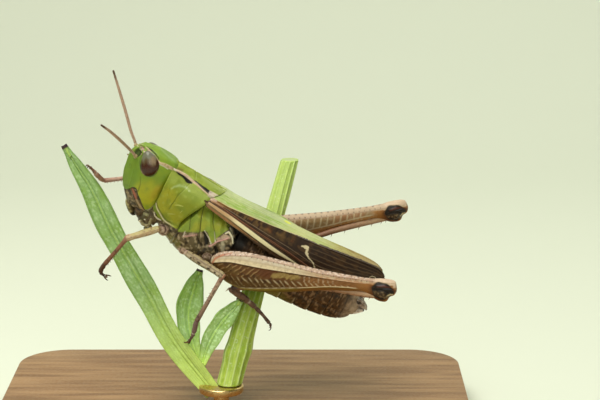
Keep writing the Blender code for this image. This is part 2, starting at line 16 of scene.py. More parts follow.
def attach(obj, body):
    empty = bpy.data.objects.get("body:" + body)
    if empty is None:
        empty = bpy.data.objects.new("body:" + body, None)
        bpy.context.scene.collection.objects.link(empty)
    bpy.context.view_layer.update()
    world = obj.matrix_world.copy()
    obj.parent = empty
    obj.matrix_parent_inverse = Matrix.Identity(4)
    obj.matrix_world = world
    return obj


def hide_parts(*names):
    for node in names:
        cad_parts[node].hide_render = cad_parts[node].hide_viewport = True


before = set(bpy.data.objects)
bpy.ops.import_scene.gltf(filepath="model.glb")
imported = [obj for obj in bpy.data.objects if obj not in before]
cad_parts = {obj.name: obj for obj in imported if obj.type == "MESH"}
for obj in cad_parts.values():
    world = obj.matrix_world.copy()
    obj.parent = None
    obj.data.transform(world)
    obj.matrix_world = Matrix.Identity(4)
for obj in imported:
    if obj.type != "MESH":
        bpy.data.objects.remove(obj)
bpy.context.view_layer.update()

MM = .001
BODY_AT = np.array((-1.7, -.4, 16.7))  # the insect's own origin, over the base
BODY_TURN = np.array(Euler([math.radians(a) for a in (13, 29, 3)]).to_matrix())  # roll, pitch, yaw
LEFT, RIGHT = -1, 1
SIDES = (("left", LEFT), ("right", RIGHT))
UP = np.array((0, 0, 1))


# ---------------------------------------------------------------- arithmetic
def along(stations, x):
    """Values at x on a smooth curve through (place, value) stations."""
    places, values = np.array(stations, float).T
    x = np.clip(x, places[0], places[-1])
    last = len(places) - 1
    i = np.clip(np.searchsorted(places, x, side="left") - 1, 0, last - 1)
    before, after = np.maximum(i - 1, 0), np.minimum(i + 2, last)
    h = places[i + 1] - places[i]
    t = (x - places[i]) / h
    slope0 = (values[i + 1] - values[before]) / (places[i + 1] - places[before])
    slope1 = (values[after] - values[i]) / (places[after] - places[i])
    return ((2 * t**3 - 3 * t**2 + 1) * values[i] + (t**3 - 2 * t**2 + t) * h * slope0
        + (3 * t**2 - 2 * t**3) * values[i + 1] + (t**3 - t**2) * h * slope1)


def ease(t, width=1):
    """0 below 0, 1 above the width, and a smooth step between."""
    t = np.clip(t / width, 0, 1)
    return t * t * (3 - 2 * t)


def bell(x, width):
    """1 at 0, falling off to both sides over the width."""
    return np.exp(-(x / width)**2)


def mix(a, b, t):
    return a + (b - a) * t


def dome(part):
    """The height of a quarter circle: 0 at 0, 1 from 1 on."""
    return np.sqrt(1 - (1 - np.clip(part, 0, 1))**2)


def signed_power(x, how_high):
    """A power of x that keeps its sign."""
    return np.sign(x) * np.abs(x)**how_high


def unit(v):
    return v / np.linalg.norm(v, axis=-1, keepdims=True)


def rows(*columns):
    """One row of values for each place."""
    return np.stack(columns, 1)


def course(stops, share):
    """Stops on the smooth curve through some stops; the share counts from one to the next."""
    return rows(*[along(list(enumerate(column)), share) for column in np.array(stops, float).T])


def cloud(places, size, seed=0):
    """Smooth random values from 0 to 1 through space, in lumps of that size."""
    q = np.asarray(places) / size + seed * 17.31
    cell = np.floor(q).astype(np.int64)
    f = q - cell
    f = f * f * (3 - 2 * f)
    total = np.zeros(len(q))
    for corner in range(8):
        step = [corner >> axis & 1 for axis in range(q.shape[1])]
        key = np.zeros(len(q), np.int64)
        weight = np.ones(len(q))
        for axis, prime in zip(range(q.shape[1]), (73856093, 19349663, 83492791)):
            key ^= (cell[:, axis] + step[axis]) * prime
            weight *= f[:, axis] if step[axis] else 1 - f[:, axis]
        key = (key ^ key >> 13) * 1274126177 & 0xFFFFFFFF
        total += weight * ((key ^ key >> 15) & 0xFFFF) / 0xFFFF
    return total


def lumps(places, size, seed, gain, cut):
    """Soft-edged lumps: a cloud with its contrast raised."""
    return ease(cloud(places, size, seed) * gain - cut)


def stroke(points, line, soft=.05):
    """1 on a line of (coordinates..., half width) stops, fading to 0 over the soft distance."""
    best = np.full(len(points), -1e9)
    for a, b in zip(line, line[1:]):
        a, b = np.array(a, float), np.array(b, float)
        run = b[:-1] - a[:-1]
        t = np.clip((points - a[:-1]) @ run / max(run @ run, 1e-12), 0, 1)
        away = np.linalg.norm(points - a[:-1] - t[:, None] * run, axis=1)
        best = np.maximum(best, mix(a[-1], b[-1], t) - away)
    return ease(best / soft + .5)


def spot(points, centre, half, soft=.3):
    """1 inside an ellipse, fading to 0 over a share of its size."""
    away = np.linalg.norm((points - np.array(centre)) / np.array(half), axis=1)
    return ease((1 - away) / soft + .5)


def above(x, z, border, soft=.05):
    """1 above a border curve of (x, z) stations, 0 below it."""
    return ease((z - along(border, x)) / soft + .5)


def plain(places, colour):
    return np.tile(np.array(colour, float), (len(places), 1))


def tint(base, colour, mask):
    """base colours moved towards a colour where mask is 1."""
    return base + (np.array(colour) - base) * np.clip(mask, 0, 1)[:, None]


def layers(colour, *coats):
    """A colour with coats over it in turn, each a colour and a mask of where it covers."""
    for shade, mask in zip(coats[::2], coats[1::2]):
        colour = tint(colour, shade, mask)
    return colour


def even(colour):
    """A coat of one colour."""
    return lambda p, t, a: plain(p, colour)


def tipped(colour, tip, start=0, width=1):
    """A coat that turns to another colour towards the tip."""
    return lambda p, t, a: tint(plain(p, colour), tip, ease(t - start, width))


def side_view(places):
    return places[:, [0, 2]]


def folded(places):
    """Places with both halves of the body laid on one side."""
    return rows(places[:, 0], np.abs(places[:, 1]), places[:, 2])


# ---------------------------------------------------------------- finishes
def link_noise(tree, coordinate, size, detail=3):
    noise = tree.nodes.new("ShaderNodeTexNoise")
    noise.inputs["Scale"].default_value = 1 / (size * MM)
    noise.inputs["Detail"].default_value = detail
    tree.links.new(coordinate, noise.inputs["Vector"])
    return noise.outputs["Fac"]


def link_range(tree, value, low, high, to_low, to_high):
    spread = tree.nodes.new("ShaderNodeMapRange")
    for name, number in (("From Min", low), ("From Max", high),
            ("To Min", to_low), ("To Max", to_high)):
        spread.inputs[name].default_value = number
    tree.links.new(value, spread.inputs["Value"])
    return spread.outputs["Result"]


def finish(name, rough, grain, depth, mottle, pits=False, through=0, gloss=0):
    """A shell finish: the painted coat, faintly mottled, with a fine grain or pits."""
    mat = bpy.data.materials.new(name)
    mat.use_nodes = True
    tree = mat.node_tree
    shader = tree.nodes["Principled BSDF"]
    shader.inputs["Specular IOR Level"].default_value = .25
    place = tree.nodes.new("ShaderNodeTexCoord").outputs["Object"]
    paint = tree.nodes.new("ShaderNodeAttribute")
    paint.attribute_name = "coat"
    broad = link_noise(tree, place, grain * 7)
    fine = link_noise(tree, place, grain)
    shade = tree.nodes.new("ShaderNodeVectorMath")
    shade.operation = "SCALE"
    tree.links.new(paint.outputs["Color"], shade.inputs[0])
    both = tree.nodes.new("ShaderNodeMath")
    both.operation = "ADD"
    tree.links.new(broad, both.inputs[0])
    tree.links.new(fine, both.inputs[1])
    level = link_range(tree, both.outputs[0], .6, 1.4, 1 - mottle, 1 + mottle)
    tree.links.new(level, shade.inputs["Scale"])
    tree.links.new(shade.outputs["Vector"], shader.inputs["Base Color"])
    tree.links.new(link_range(tree, fine, .3, .7, rough - .07, rough + .07),
        shader.inputs["Roughness"])
    height = fine
    if pits:
        cells = tree.nodes.new("ShaderNodeTexVoronoi")
        cells.inputs["Scale"].default_value = 1 / (grain * MM)
        tree.links.new(place, cells.inputs["Vector"])
        height = cells.outputs["Distance"]
    bump = tree.nodes.new("ShaderNodeBump")
    bump.inputs["Distance"].default_value = depth * MM
    bump.inputs["Strength"].default_value = 1
    tree.links.new(height, bump.inputs["Height"])
    tree.links.new(bump.outputs["Normal"], shader.inputs["Normal"])
    if through:
        shader.inputs["Subsurface Weight"].default_value = through
        shader.inputs["Subsurface Radius"].default_value = (1, .9, .4)
        shader.inputs["Subsurface Scale"].default_value = .25 * MM
    if gloss:
        shader.inputs["Coat Weight"].default_value = gloss
        shader.inputs["Coat Roughness"].default_value = .08
    return mat


SHELL = finish("leaf_green_shell", rough=.38, grain=.07, depth=.006, mottle=.09, pits=True,
    through=.15)
FACE = finish("face_shell", rough=.36, grain=.06, depth=.004, mottle=.09, through=.15)
EYE = finish("eye_facets", rough=.3, grain=.035, depth=.002, mottle=.14, pits=True, gloss=.25)
WING = finish("wing_membrane", rough=.42, grain=.05, depth=.005, mottle=.12)
BELLY = finish("belly_shell", rough=.46, grain=.06, depth=.008, mottle=.22)
THIGH = finish("thigh_shell", rough=.42, grain=.05, depth=.004, mottle=.12)
SHIN = finish("shin_shell", rough=.4, grain=.05, depth=.004, mottle=.18)
FEELER = finish("feeler_shell", rough=.5, grain=.04, depth=.003, mottle=.14)
STEM_SKIN = finish("stem_skin", rough=.42, grain=.09, depth=.006, mottle=.1, through=.3)
LEAF_SKIN = finish("leaf_skin", rough=.48, grain=.1, depth=.01, mottle=.16, through=.2)
WOOD = finish("oiled_beech", rough=.42, grain=.25, depth=.01, mottle=.05)


# ---------------------------------------------------------------- making pieces
def on_stage(places):
    return (places @ BODY_TURN.T + BODY_AT) * MM


def read(data, name, width=3):
    values = np.zeros(len(data) * width, np.float32)
    data.foreach_get(name, values)
    return values.reshape(-1, width).astype(float)


def write(mesh, places):
    mesh.vertices.foreach_set("co", places.astype(np.float32).ravel())
    mesh.update()


def new_mesh(name, bm):
    mesh = bpy.data.meshes.new(name)
    bm.to_mesh(mesh)
    bm.free()
    return mesh


def new_object(name, data):
    obj = bpy.data.objects.new(name, data)
    bpy.context.scene.collection.objects.link(obj)
    return obj


def volume(mesh):
    mesh.calc_loop_triangles()
    corners = np.zeros(len(mesh.loop_triangles) * 3, np.int32)
    mesh.loop_triangles.foreach_get("vertices", corners)
    a, b, c = read(mesh.vertices, "co")[corners.reshape(-1, 3)].transpose(1, 0, 2)
    return (a * np.cross(b, c)).sum()


def dressed(name, mesh, places, spread, coat, skin, relief, turn_in, posed):
    """Give a mesh its places, its raised and sunken detail and its painted coat."""
    write(mesh, places)
    if turn_in(mesh):
        mesh.flip_normals()
        mesh.update()
    if relief:
        normals = read(mesh.vertices, "normal")
        places = places + normals * relief(places, *spread)[:, None]
    colour = np.ones((len(places), 4), np.float32)
    colour[:, :3] = np.clip(coat(places, *spread), 0, 1)
    layer = mesh.color_attributes.new(name="coat", type="FLOAT_COLOR", domain="POINT")
    layer.data.foreach_set("color", colour.ravel())
    write(mesh, on_stage(places) if posed else places * MM)
    mesh.shade_smooth()
    mesh.materials.append(skin)
    return new_object(name, mesh)


def ball(name, around, rings, shape, coat, skin, relief=None, crowd=0, posed=True):
    """A closed body: a sphere whose points are placed by shape(t, angle), poles at t 0 and 1."""
    bm = bmesh.new()
    bmesh.ops.create_uvsphere(bm, u_segments=around, v_segments=rings, radius=1)
    mesh = new_mesh(name, bm)
    co = read(mesh.vertices, "co")
    t = 1 - np.arccos(np.clip(co[:, 2], -1, 1)) / np.pi
    t = mix(t, (1 - np.cos(np.pi * t)) / 2, crowd)
    angle = np.arctan2(co[:, 1], co[:, 0])
    return dressed(name, mesh, shape(t, angle),
        (t, angle), coat, skin, relief, lambda made: volume(made) < 0, posed)


def sheet(name, nu, nv, shape, inside, wall, coat, skin, relief=None, posed=True):
    """A thin sheet: a grid placed by shape(u, v), thickened towards the point inside."""
    bm = bmesh.new()
    bmesh.ops.create_grid(bm, x_segments=nu, y_segments=nv, size=1)
    mesh = new_mesh(name, bm)
    co = read(mesh.vertices, "co")
    u, v = (co[:, 0] + 1) / 2, (co[:, 1] + 1) / 2

    def turned_in(made):
        centres, normals = read(made.polygons, "center"), read(made.polygons, "normal")
        return (normals * (centres - np.array(inside))).sum() < 0

    obj = dressed(name, mesh, shape(u, v), (u, v), coat, skin, relief, turned_in, posed)
    solid = obj.modifiers.new("Thickness", "SOLIDIFY")
    solid.thickness = wall * MM
    solid.offset = -1
    return obj


def limb(name, stops, around, rings, coat, skin, up=UP, section=None, relief=None, crowd=.5):
    """A rounded rod through (x, y, z, radius) stops with domed ends; angle 0 is its upper side."""
    stops = np.array(stops, float)
    length = np.linalg.norm(np.diff(stops[:, :3], axis=0), axis=1).sum()

    def centre(s):
        return course(stops, np.clip(s, 0, 1) * (len(stops) - 1))

    def shape(s, angle):
        here = centre(s)
        ahead = unit(centre(s + .01)[:, :3] - centre(s - .01)[:, :3])
        top = unit(np.array(up) - ahead * (ahead @ np.array(up))[:, None])
        flank = np.cross(ahead, top)
        size = here[:, 3] * dome(s * length / stops[0, 3]) * dome((1 - s) * length / stops[-1, 3])
        wide, tall = section(s, angle) if section else (1, 1)
        return (here[:, :3] + top * (size * tall * np.cos(angle))[:, None]
            + flank * (size * wide * np.sin(angle))[:, None])

    return ball(name, around, rings, shape, coat, skin, relief, crowd)


def spikes(name, thorns, coat, skin, sides=8):
    """Many small pointed cones, each from (root, tip, radius), as one mesh."""
    bm = bmesh.new()
    for root, tip, radius in thorns:
        root, tip = Vector(root), Vector(tip)
        run = tip - root
        turn = run.to_track_quat("Z", "Y").to_matrix().to_4x4()
        bmesh.ops.create_cone(bm, cap_ends=True, segments=sides, radius1=radius,
            radius2=radius * .12, depth=run.length,
            matrix=Matrix.Translation((root + tip) / 2) @ turn)
    mesh = new_mesh(name, bm)
    places = read(mesh.vertices, "co")
    share = np.tile(np.array([0] * sides + [1] * sides), len(thorns))
    return dressed(name, mesh, places, (share, share), coat, skin, None, lambda made: False, True)


def joined(name, pieces):
    """Several pieces made one object, the first one's finish kept."""
    bm = bmesh.new()
    for piece in pieces:
        bm.from_mesh(piece.data)
    mesh = new_mesh(name, bm)
    mesh.materials.append(pieces[0].data.materials[0])
    for piece in pieces:
        bpy.data.objects.remove(piece)
    return new_object(name, mesh)


def keep(piece, slot, *nodes):
    """The piece rides with the body and stands for CAD nodes, which are hidden; the slot is not
    used.
    """
    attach(piece, "root")
    if nodes:
        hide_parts(*nodes)


# ---------------------------------------------------------------- head
HEAD_FRONT = ((-1.3, -6.75), (-.5, -7.38), (.7, -7.9),
    (1.6, -8.12), (2.3, -8.2), (2.85, -8.05), (3.2, -7.8), (3.5, -7.42), (3.66, -7), (3.8, -6.4))
HEAD_BACK = ((-1.3, -4.6), (-.6, -4.42),
    (2.8, -4.38), (3.2, -4.52), (3.45, -4.8), (3.62, -5.2), (3.8, -6.1))
HEAD_HALF = ((-1.3, 1), (-.6, 1.3), (.6, 1.52),
    (1.6, 1.5), (2.5, 1.32), (3.1, 1.02), (3.45, .8), (3.7, .5), (3.8, .35))
HEAD_PINCH = ((-1.3, .1), (.5, .3), (2, .55), (3.2, .6), (3.7, .4), (3.8, .3))
EYE_HALF = np.array((.7, .53, .97))
HEAD_FLOOR, HEAD_CROWN, HEAD_CAP = -1.3, 3.8, 1 / 13

GREEN_FACE = (.14, .215, .021)
GREEN_CROWN = (.205, .31, .038)
GENA_YELLOW = (.4, .375, .018)
BLACK = (.012, .009, .006)
HORN_TIP = (.015, .01, .008)
MOUTH_BROWN = (.13, .085, .035)

BROW_STRIPE = ((-7.82, .1, 3.09, .03), (-7.58, .17, 3.29, .05),
    (-7.28, .4, 3.32, .06), (-6.97, .63, 3.3, .08), (-6.48, .91, 3.26, .06), (-6.2, 1, 3.14, .06),
    (-5.9, 1.06, 3.02, .07), (-5.56, 1.02, 3.04, .12), (-5.21, .97, 3.03, .13), (-4.6, .9, 3, .12))
BROW_LOW = ((-7.92, .1, 2.98, .04), (-7.77, .3, 3, .05), (-7.63, .34, 2.98, .05),
    (-7.48, .46, 2.96, .055), (-7.33, .62, 2.98, .06), (-7.18, .67, 3.06, .07))
BROW_PIT = ((-7.75, .18, 3.14, .07), (-7.62, .32, 3.14, .11),
    (-7.45, .43, 3.14, .12), (-7.36, .48, 3.08, .07))
STRIPE_EDGE = ((-5.88, 1.1, 2.92, .03), (-5.51, 1.08, 2.93, .035), (-5.13, 1.04, 2.87, .03))
CROWN_WEDGE = ((-7.27, .35, 3.41, .01), (-7.04, .48, 3.42, .05), (-6.85, .59, 3.43, .07),
    (-6.62, .72, 3.42, .075), (-6.48, .82, 3.37, .03), (-6.22, .98, 3.26, .01))
SOCKET = np.array((-7.62, .52, 2.66))
FACE_BORDER = ((-7.9, -.4), (-7.22, -.42), (-6.95, -.12), (-6.79, .27), (-6.46, .36), (-6.15, .02),
    (-5.82, -.28), (-5.23, -.88), (-5.02, -.98), (-4.88, -.82), (-4.76, -.5), (-4.62, .1))


def head_point(t, angle):
    level = np.clip((t - HEAD_CAP) / (1 - HEAD_CAP), 0, 1)
    z = mix(HEAD_FLOOR, HEAD_CROWN, .35 * ease(level) + .65 * level)
    front, back = along(HEAD_FRONT, z), along(HEAD_BACK, z)
    fill = np.minimum(np.minimum(1, t / HEAD_CAP), dome((1 - t) / HEAD_CAP * 1.2))
    ahead = np.cos(angle)
    pinch = 1 - along(HEAD_PINCH, z) * np.maximum(0, ahead)**2
    x = (front + back) / 2 - (back - front) / 2 * ahead * fill
    wide = np.where(ahead < 0, np.abs(np.sin(angle))**.5, np.abs(np.sin(angle)) * pinch)
    drop = .12 * ease(z - 3.3, .35)
    return rows(x, along(HEAD_HALF, z) * np.sign(np.sin(angle)) * wide * fill, z - drop)


def eye_turn(side):
    lean = (Matrix.Rotation(math.radians(-29), 3, "Y")
        @ Matrix.Rotation(math.radians(14 * side), 3, "X"))
    return np.array(lean), np.array((-6.53, 1.03 * side, 2.56))


def eye_depth(places):
    """Below 1 inside an eye, 1 on its surface, on the side nearer each place."""
    turn, centre = eye_turn(RIGHT)
    return np.linalg.norm((folded(places) - centre) @ turn / EYE_HALF, axis=1)


def head_relief(places, t, angle):
    side, flat = folded(places), side_view(places)
    x, y, z = side.T
    front = x - along(HEAD_FRONT, z)
    rise = .05 * ease(.8 - front, .5) * bell(y - .27, .07) * ease(z + .3, .5)
    rise -= .03 * ease(.6 - front, .4) * bell(y, .16) * ease(z + .2, .5)
    ring = eye_depth(places)
    rise -= .05 * bell(ring - 1.06, .05)
    outer = ease(y - .5, .3)
    rise -= (.05 * outer
        * stroke(flat, ((-6.64, 1.45, .02), (-6.38, .95, .02), (-6.28, .32, .03)), .08))
    rise += .04 * outer * stroke(flat, ((-7.35, 1.6, .03), (-7.15, .8, .03), (-7, .1, .03)), .12)
    below = 1 - above(x, z, FACE_BORDER, .1)
    edge = bell(z - along(FACE_BORDER, x), .07)
    rise -= .07 * below + .05 * edge
    rise += (.06 * below
        * stroke(flat, ((-6.75, .05, .06), (-6.2, -.45, .1), (-5.5, -1.05, .1)), .12))
    socket = np.linalg.norm((side - SOCKET) / (1, 1, 1.3), axis=1)
    rise -= .15 * ease(.33 - socket, .16)
    rise += .03 * bell(socket - .36, .06)
    rise += .05 * stroke(side, BROW_STRIPE, .1) + .04 * stroke(side, BROW_LOW, .08)
    rise -= .09 * stroke(side, BROW_PIT, .06)
    bump = np.linalg.norm(side - np.array((-7.69, .67, 1.53)), axis=1)
    rise += .02 * bell(bump - .14, .05)
    rise += .02 * (cloud(side, .5, 3) - .5)
    return rise


def head_coat(places, t, angle):
    side, flat = folded(places), side_view(places)
    x, y, z = side.T
    ring = eye_depth(places)
    groove = stroke(flat, ((-6.64, 1.45, .02), (-6.38, .95, .02), (-6.28, .32, .05)), .1)
    socket = np.linalg.norm((side - SOCKET) / (1, 1, 1.3), axis=1)
    # painted shadow: the sunken antennal socket is coloured dark olive, near black in its rear half
    socket_shadow = ease(.36 - socket, .1)
    speck = cloud(side, .1, 2)
    stripe = stroke(side, BROW_STRIPE)
    pit = tint(plain(places, (.36, .21, .15)), (.17, .12, .06), lumps(side, .1, 4, 3.5, 1.4))
    line = stroke(side, ((-7.36, .62, -.08, .01), (-7.16, .94, .13, .02), (-7.04, 1.11, .2, .01)))
    bump = np.linalg.norm(side - np.array((-7.69, .67, 1.53)), axis=1)
    below = 1 - above(x, z, FACE_BORDER, .08)
    brown = layers(plain(places, MOUTH_BROWN),
        (.05, .032, .015), lumps(side, .22, 7, 3, 1.3),
        (.3, .21, .12), .8 * lumps(side, .16, 11, 4, 2.5),
        (.3, .1, .055), stroke(flat,
            ((-6.7, .16, .06), (-6.35, -.12, .1), (-6.05, -.42, .06)), .08),
        (.34, .24, .13), stroke(flat,
            ((-6.05, -.45, .06), (-5.55, -.85, .09), (-5, -1.25, .08)), .08),
        (.27, .19, .1), .8
            * stroke(flat, ((-7.05, -.25, .05), (-6.75, -.65, .07), (-6.45, -1.2, .05)), .08))
    edge = bell(z - along(FACE_BORDER, x), .05) * ease(x + 7, .3)
    hook = stroke(flat,
        ((-5.04, -1.04, .05), (-4.86, -.92, .07), (-4.74, -.55, .06), (-4.64, -.05, .03)), .07)
    return layers(plain(places, GREEN_FACE),
        GREEN_CROWN, ease(z - 2.3, 1),
        (.22, .29, .014), .8 * ease(y - .6, .6) * ease(x + 7.1, .8),
        GENA_YELLOW, .9 * spot(flat, (-5.55, .35), (1, 1.15), .9) * ease(y - .5, .4),
        (.42, .3, .02), .6 * spot(flat, (-5.05, .9), (.3, .75), .9),
        (.12, .22, .03), .5 * cloud(side, .35, 5)**2,
        (.05, .06, .012), .8 * bell(ring - 1.03, .05),
        (.1, .12, .02), .75 * groove * ease(y - .5, .3),
        # painted shadow in the antennal socket
        (.045, .07, .014), .9 * socket_shadow,
        BLACK, .7 * socket_shadow * ease(x + 7.58, .15),
        (.56, .38, .27), stripe * (.75 + .25 * speck),
        (.36, .27, .13), stripe * ease(x + 5.85, .1) * ease(speck * 4 - 1.6),
        (.66, .58, .44), .9 * stroke(side, STRIPE_EDGE),
        (.6, .47, .36), stroke(side, BROW_LOW, .04),
        pit, stroke(side, BROW_PIT),
        (.62, .4, .27), .9 * stroke(side, ((-7.05, .62, 3.19, .1), (-7, .64, 3.2, .1)), .06),
        BLACK, stroke(side, CROWN_WEDGE, .04),
        (.04, .04, .015), .7 * line,
        (.09, .15, .02), .5 * bell(bump - .15, .04),
        brown, below,
        (.03, .018, .008), .85 * edge,
        (.42, .37, .25), .8 * hook * (.5 + speck),
        (.035, .025, .012), .8 * stroke(flat, ((-4.56, -1, .05), (-4.54, .2, .02)), .1))


def eye_coat(side):
    turn, centre = eye_turn(side)

    def coat(places, t, angle):
        x, y, z = ((places - centre) @ turn / EYE_HALF).T
        flat = rows(x, z)
        streaks = cloud(rows(x, y, z * .3), .14, 4)
        return layers(plain(places, (.045, .01, .003)),
            (.09, .06, .025), ease(z + .14 + .3 * (streaks - .5), .35),
            (.135, .135, .088), ease(z - .12 + .4 * (streaks - .5), .4),
            (.24, .17, .1), .85 * spot(flat, (.45, .25), (.36, .38), .9) * (.5 + streaks),
            (.05, .014, .005), ease(x - .7, .14) * ease(.55 - z, .3),
            (.035, .03, .018), .8 * ease(-x - .74, .14),
            (.22, .15, .06), .8 * ease(np.hypot(x, z) - .93, .04) * ease(-.3 - z, .3))

    return coat


def make_head():
    head = ball("head_capsule", 300, 210, head_point, head_coat, FACE, head_relief)
    keep(head, "face_green", "head")
    for tag, side in SIDES:
        turn, centre = eye_turn(side)

        def shape(t, angle, turn=turn, centre=centre):
            up = -np.cos(np.pi * t)
            out = np.sin(np.pi * t) * (1 - .22 * up)
            local = (rows(out * np.cos(angle) + .05 - .24 * up**2, out * np.sin(angle), up)
                * EYE_HALF)
            return centre + local @ turn.T

        keep(ball("compound_eye_" + tag, 120, 90, shape, eye_coat(side), EYE),
            "eye_brown", "eye_" + tag)
    beads = [("ocellus_left", (-7.37, -.72, 2.8)),
        ("ocellus_right", (-7.37, .72, 2.8)), ("ocellus_middle", (-8.2, 0, 1.95))]
    for name, at in beads:
        def bead(t, angle, at=at):
            out = np.sin(np.pi * t)
            local = rows(out * np.cos(angle), out * np.sin(angle), -np.cos(np.pi * t))
            return np.array(at) + local * .06

        keep(ball(name, 20, 14, bead, even((.3, .22, .1)), EYE), "eye_brown")


ANTENNA_LEFT = ((-7.52, -.56, 2.27), (-7.9, -.78, 2.56),
    (-8.42, -1.46, 3.03), (-9.42, -3, 3.97), (-10.4, -4.3, 4.75), (-11.27, -5.5, 5.38))
ANTENNA_RIGHT = ((-7.8, .62, 2.5), (-8.25, .8, 2.9),
    (-8.84, .95, 3.4), (-9.7, 1.15, 4.3), (-10.9, 1.38, 5.52), (-12.15, 1.6, 6.77))
FEELER_JOINTS, PALP_JOINTS = 23, 4


def make_antennae():
    """Feelers of a stout first joint, a ring joint and twenty-two short joints."""
    for tag, side, line in (("left", LEFT, ANTENNA_LEFT), ("right", RIGHT, ANTENNA_RIGHT)):
        radii = (.105, .105, .115, .12, .11, .075)

        def relief(p, t, angle):
            beat = t * FEELER_JOINTS % 1
            return -.022 * bell(beat - .04, .07) - .015 * bell(beat - .98, .05)

        def coat(p, t, angle, side=side):
            beat = t * FEELER_JOINTS % 1
            return layers(plain(p, (.42, .27, .19)),
                (.24, .13, .08), .8 * bell(beat, .1),
                (.46, .29, .14) if side == LEFT else (.62, .5, .38), .8 * ease(1 - t * 4),
                (.1, .055, .03), ease(t - .86, .12))

        whip = limb("whip", [(*p, r) for p, r in zip(line, radii)],
            20, 340, coat, FEELER, relief=relief, crowd=.1)
        root, run = np.array(line[0]), unit(np.array(line[1]) - np.array(line[0]))
        first = limb("scape", [(*root - run * .1, .15), (*root + run * .16, .17),
            (*root + run * .38, .15)], 24, 24, even((.34, .26, .12)), FEELER)
        ring = limb("pedicel", [(*root + run * .4, .12), (*root + run * .58, .135)],
            24, 16, even((.38, .24, .15)), FEELER)
        keep(joined("feeler_" + tag, [whip, first, ring]), "feeler_brown", "antenna_" + tag)


def make_mouth():
    """Upper lip, jaws, lower lip and the four palps under the face."""

    def brown(seed, low=(.07, .045, .02), high=(.26, .2, .11)):
        def coat(p, t, angle):
            return tint(plain(p, low), high, lumps(p, .2, seed, 3.2, 1.2))

        return coat

    throat = [(-5.3, 0, -.9, .95), (-4.55, 0, -1.42, 1.08), (-3.7, 0, -1.86, .92)]
    keep(limb("throat", throat, 60, 50, brown(13, (.09, .06, .03), (.22, .17, .09)),
        BELLY, relief=lambda p, t, a: .04 * np.sin(p[:, 0] * 22)), "belly_brown")
    lip = [(-6.6, 0, -1.05, .36), (-6.25, 0, -1.48, .4),
        (-5.86, 0, -1.86, .38), (-5.46, 0, -2.16, .25)]

    def lip_coat(p, t, angle):
        colour = brown(3, (.12, .085, .035), (.33, .28, .12))(p, t, angle)
        return tint(colour, (.012, .008, .005), .95 * ease(t - .62, .15))

    lip = limb("upper_lip", lip, 60, 60, lip_coat,
        FACE, up=(-1, 0, .4), section=lambda s, a: (2.1 - .8 * s, .8))
    keep(lip, "belly_brown", "mouthparts")

    def palp_coat(p, t, angle):
        joints = bell(t * PALP_JOINTS % 1 - .5, .16)
        return tint(plain(p, (.3, .26, .13)), (.22, .16, .07), .6 * joints)

    def palp_relief(p, t, angle):
        return -.03 * bell(t * PALP_JOINTS % 1 - .5, .12)

    def put(name, around, rings, coat, stops, slot, *nodes, skin=FACE, relief=None):
        stops = [(x, y * side, z, radius) for x, y, z, radius in stops]
        keep(limb(f"{name}_{tag}", stops, around, rings, coat, skin, relief=relief), slot, *nodes)

    for tag, side in SIDES:
        put("jaw", 40, 40, brown(5, (.02, .012, .008), (.11, .07, .035)),
            ((-5.4, .74, -.95, .42), (-5.42, .74, -1.38, .38), (-5.36, .58, -1.8, .24)),
            "belly_brown")
        put("maxilla", 36, 36, brown(7, (.09, .07, .03), (.28, .25, .13)),
            ((-4.92, .8, -.95, .32), (-4.8, .76, -1.5, .32), (-4.72, .6, -2, .24)),
            "belly_brown")
        put("long_palp", 24, 60, palp_coat, ((-4.4, .98, -1.3, .12), (-4.28, 1.06, -1.9, .13),
            (-4.62, .98, -2.12, .13), (-5.02, .86, -1.98, .13)), "shin_brown", "palp_" + tag,
            relief=palp_relief)
        put("short_palp", 24, 50, palp_coat, ((-4.05, .8, -1.95, .11), (-4.15, .84, -2.32, .12),
            (-4.48, .7, -2.48, .12)), "shin_brown", relief=palp_relief)
        for row, x, z in (("upper", -4.76, -1.68), ("lower", -5.02, -2.02)):
            put(row + "_palp_bead", 20, 16, even((.6, .55, .38)),
                ((x - .05, .98, z - .05, .1), (x + .07, 1, z + .06, .1)), "shin_brown")
        put("neck_edge", 16, 40, even((.55, .46, .32)), ((-4.46, 1.26, -.66, .05),
            (-4.22, 1.28, -.92, .055), (-3.95, 1.3, -1, .055), (-3.66, 1.32, -.98, .045)),
            "belly_brown", skin=SHELL)
    chin = [(-5.22, 0, -1.35, .62), (-4.8, 0, -1.82, .64), (-4.36, 0, -2.1, .52)]
    keep(limb("lower_lip", chin, 50, 40, brown(9, (.09, .075, .03), (.28, .25, .11)),
        FACE, section=lambda s, a: (1.5, .8)), "belly_brown")


# ---------------------------------------------------------------- pronotum
DISC_TOP = ((-4.8, 3.38), (-3.7, 3.32), (-2.8, 3.28), (-1.8, 3.2), (-.6, 3.12))
CARINA_HALF = ((-4.8, .86), (-3.9, .7), (-3.3, .7), (-2.4, 1), (-1.5, 1.32), (-.6, 1.5))
CARINA_DROP = ((-4.8, .38), (-3.7, .34), (-2.6, .4), (-1.5, .46), (-.6, .5))
LOBE_FOOT = ((-4.78, .3), (-4.5, -.15), (-4, -.52), (-3.5, -.8), (-2.9, -.86), (-2.4, -.86))
LOBE_HALF = ((-4.8, 1.62), (-3.8, 1.7), (-2.4, 1.84), (-1.5, 1.92))
DISC_SHARE = .375  # share of half the saddle's width that is the flat disc
SULCUS = ((-3.02, 2.95), (-3.25, 2.3), (-3.5, 1.6), (-3.55, 1.19), (-3.61, .78), (-3.62, .34))
KEEL_STRIPE = ((-4.66, .87, 3.06, .107), (-4.19, .8, 3.05, .107), (-3.74, .75, 2.98, .1),
    (-3.34, .75, 2.9, .095), (-3.01, .84, 2.85, .09), (-2.73, .94, 2.85, .085),
    (-2.31, 1.08, 2.78, .07), (-1.91, 1.23, 2.73, .06), (-1.5, 1.38, 2.68, .053))
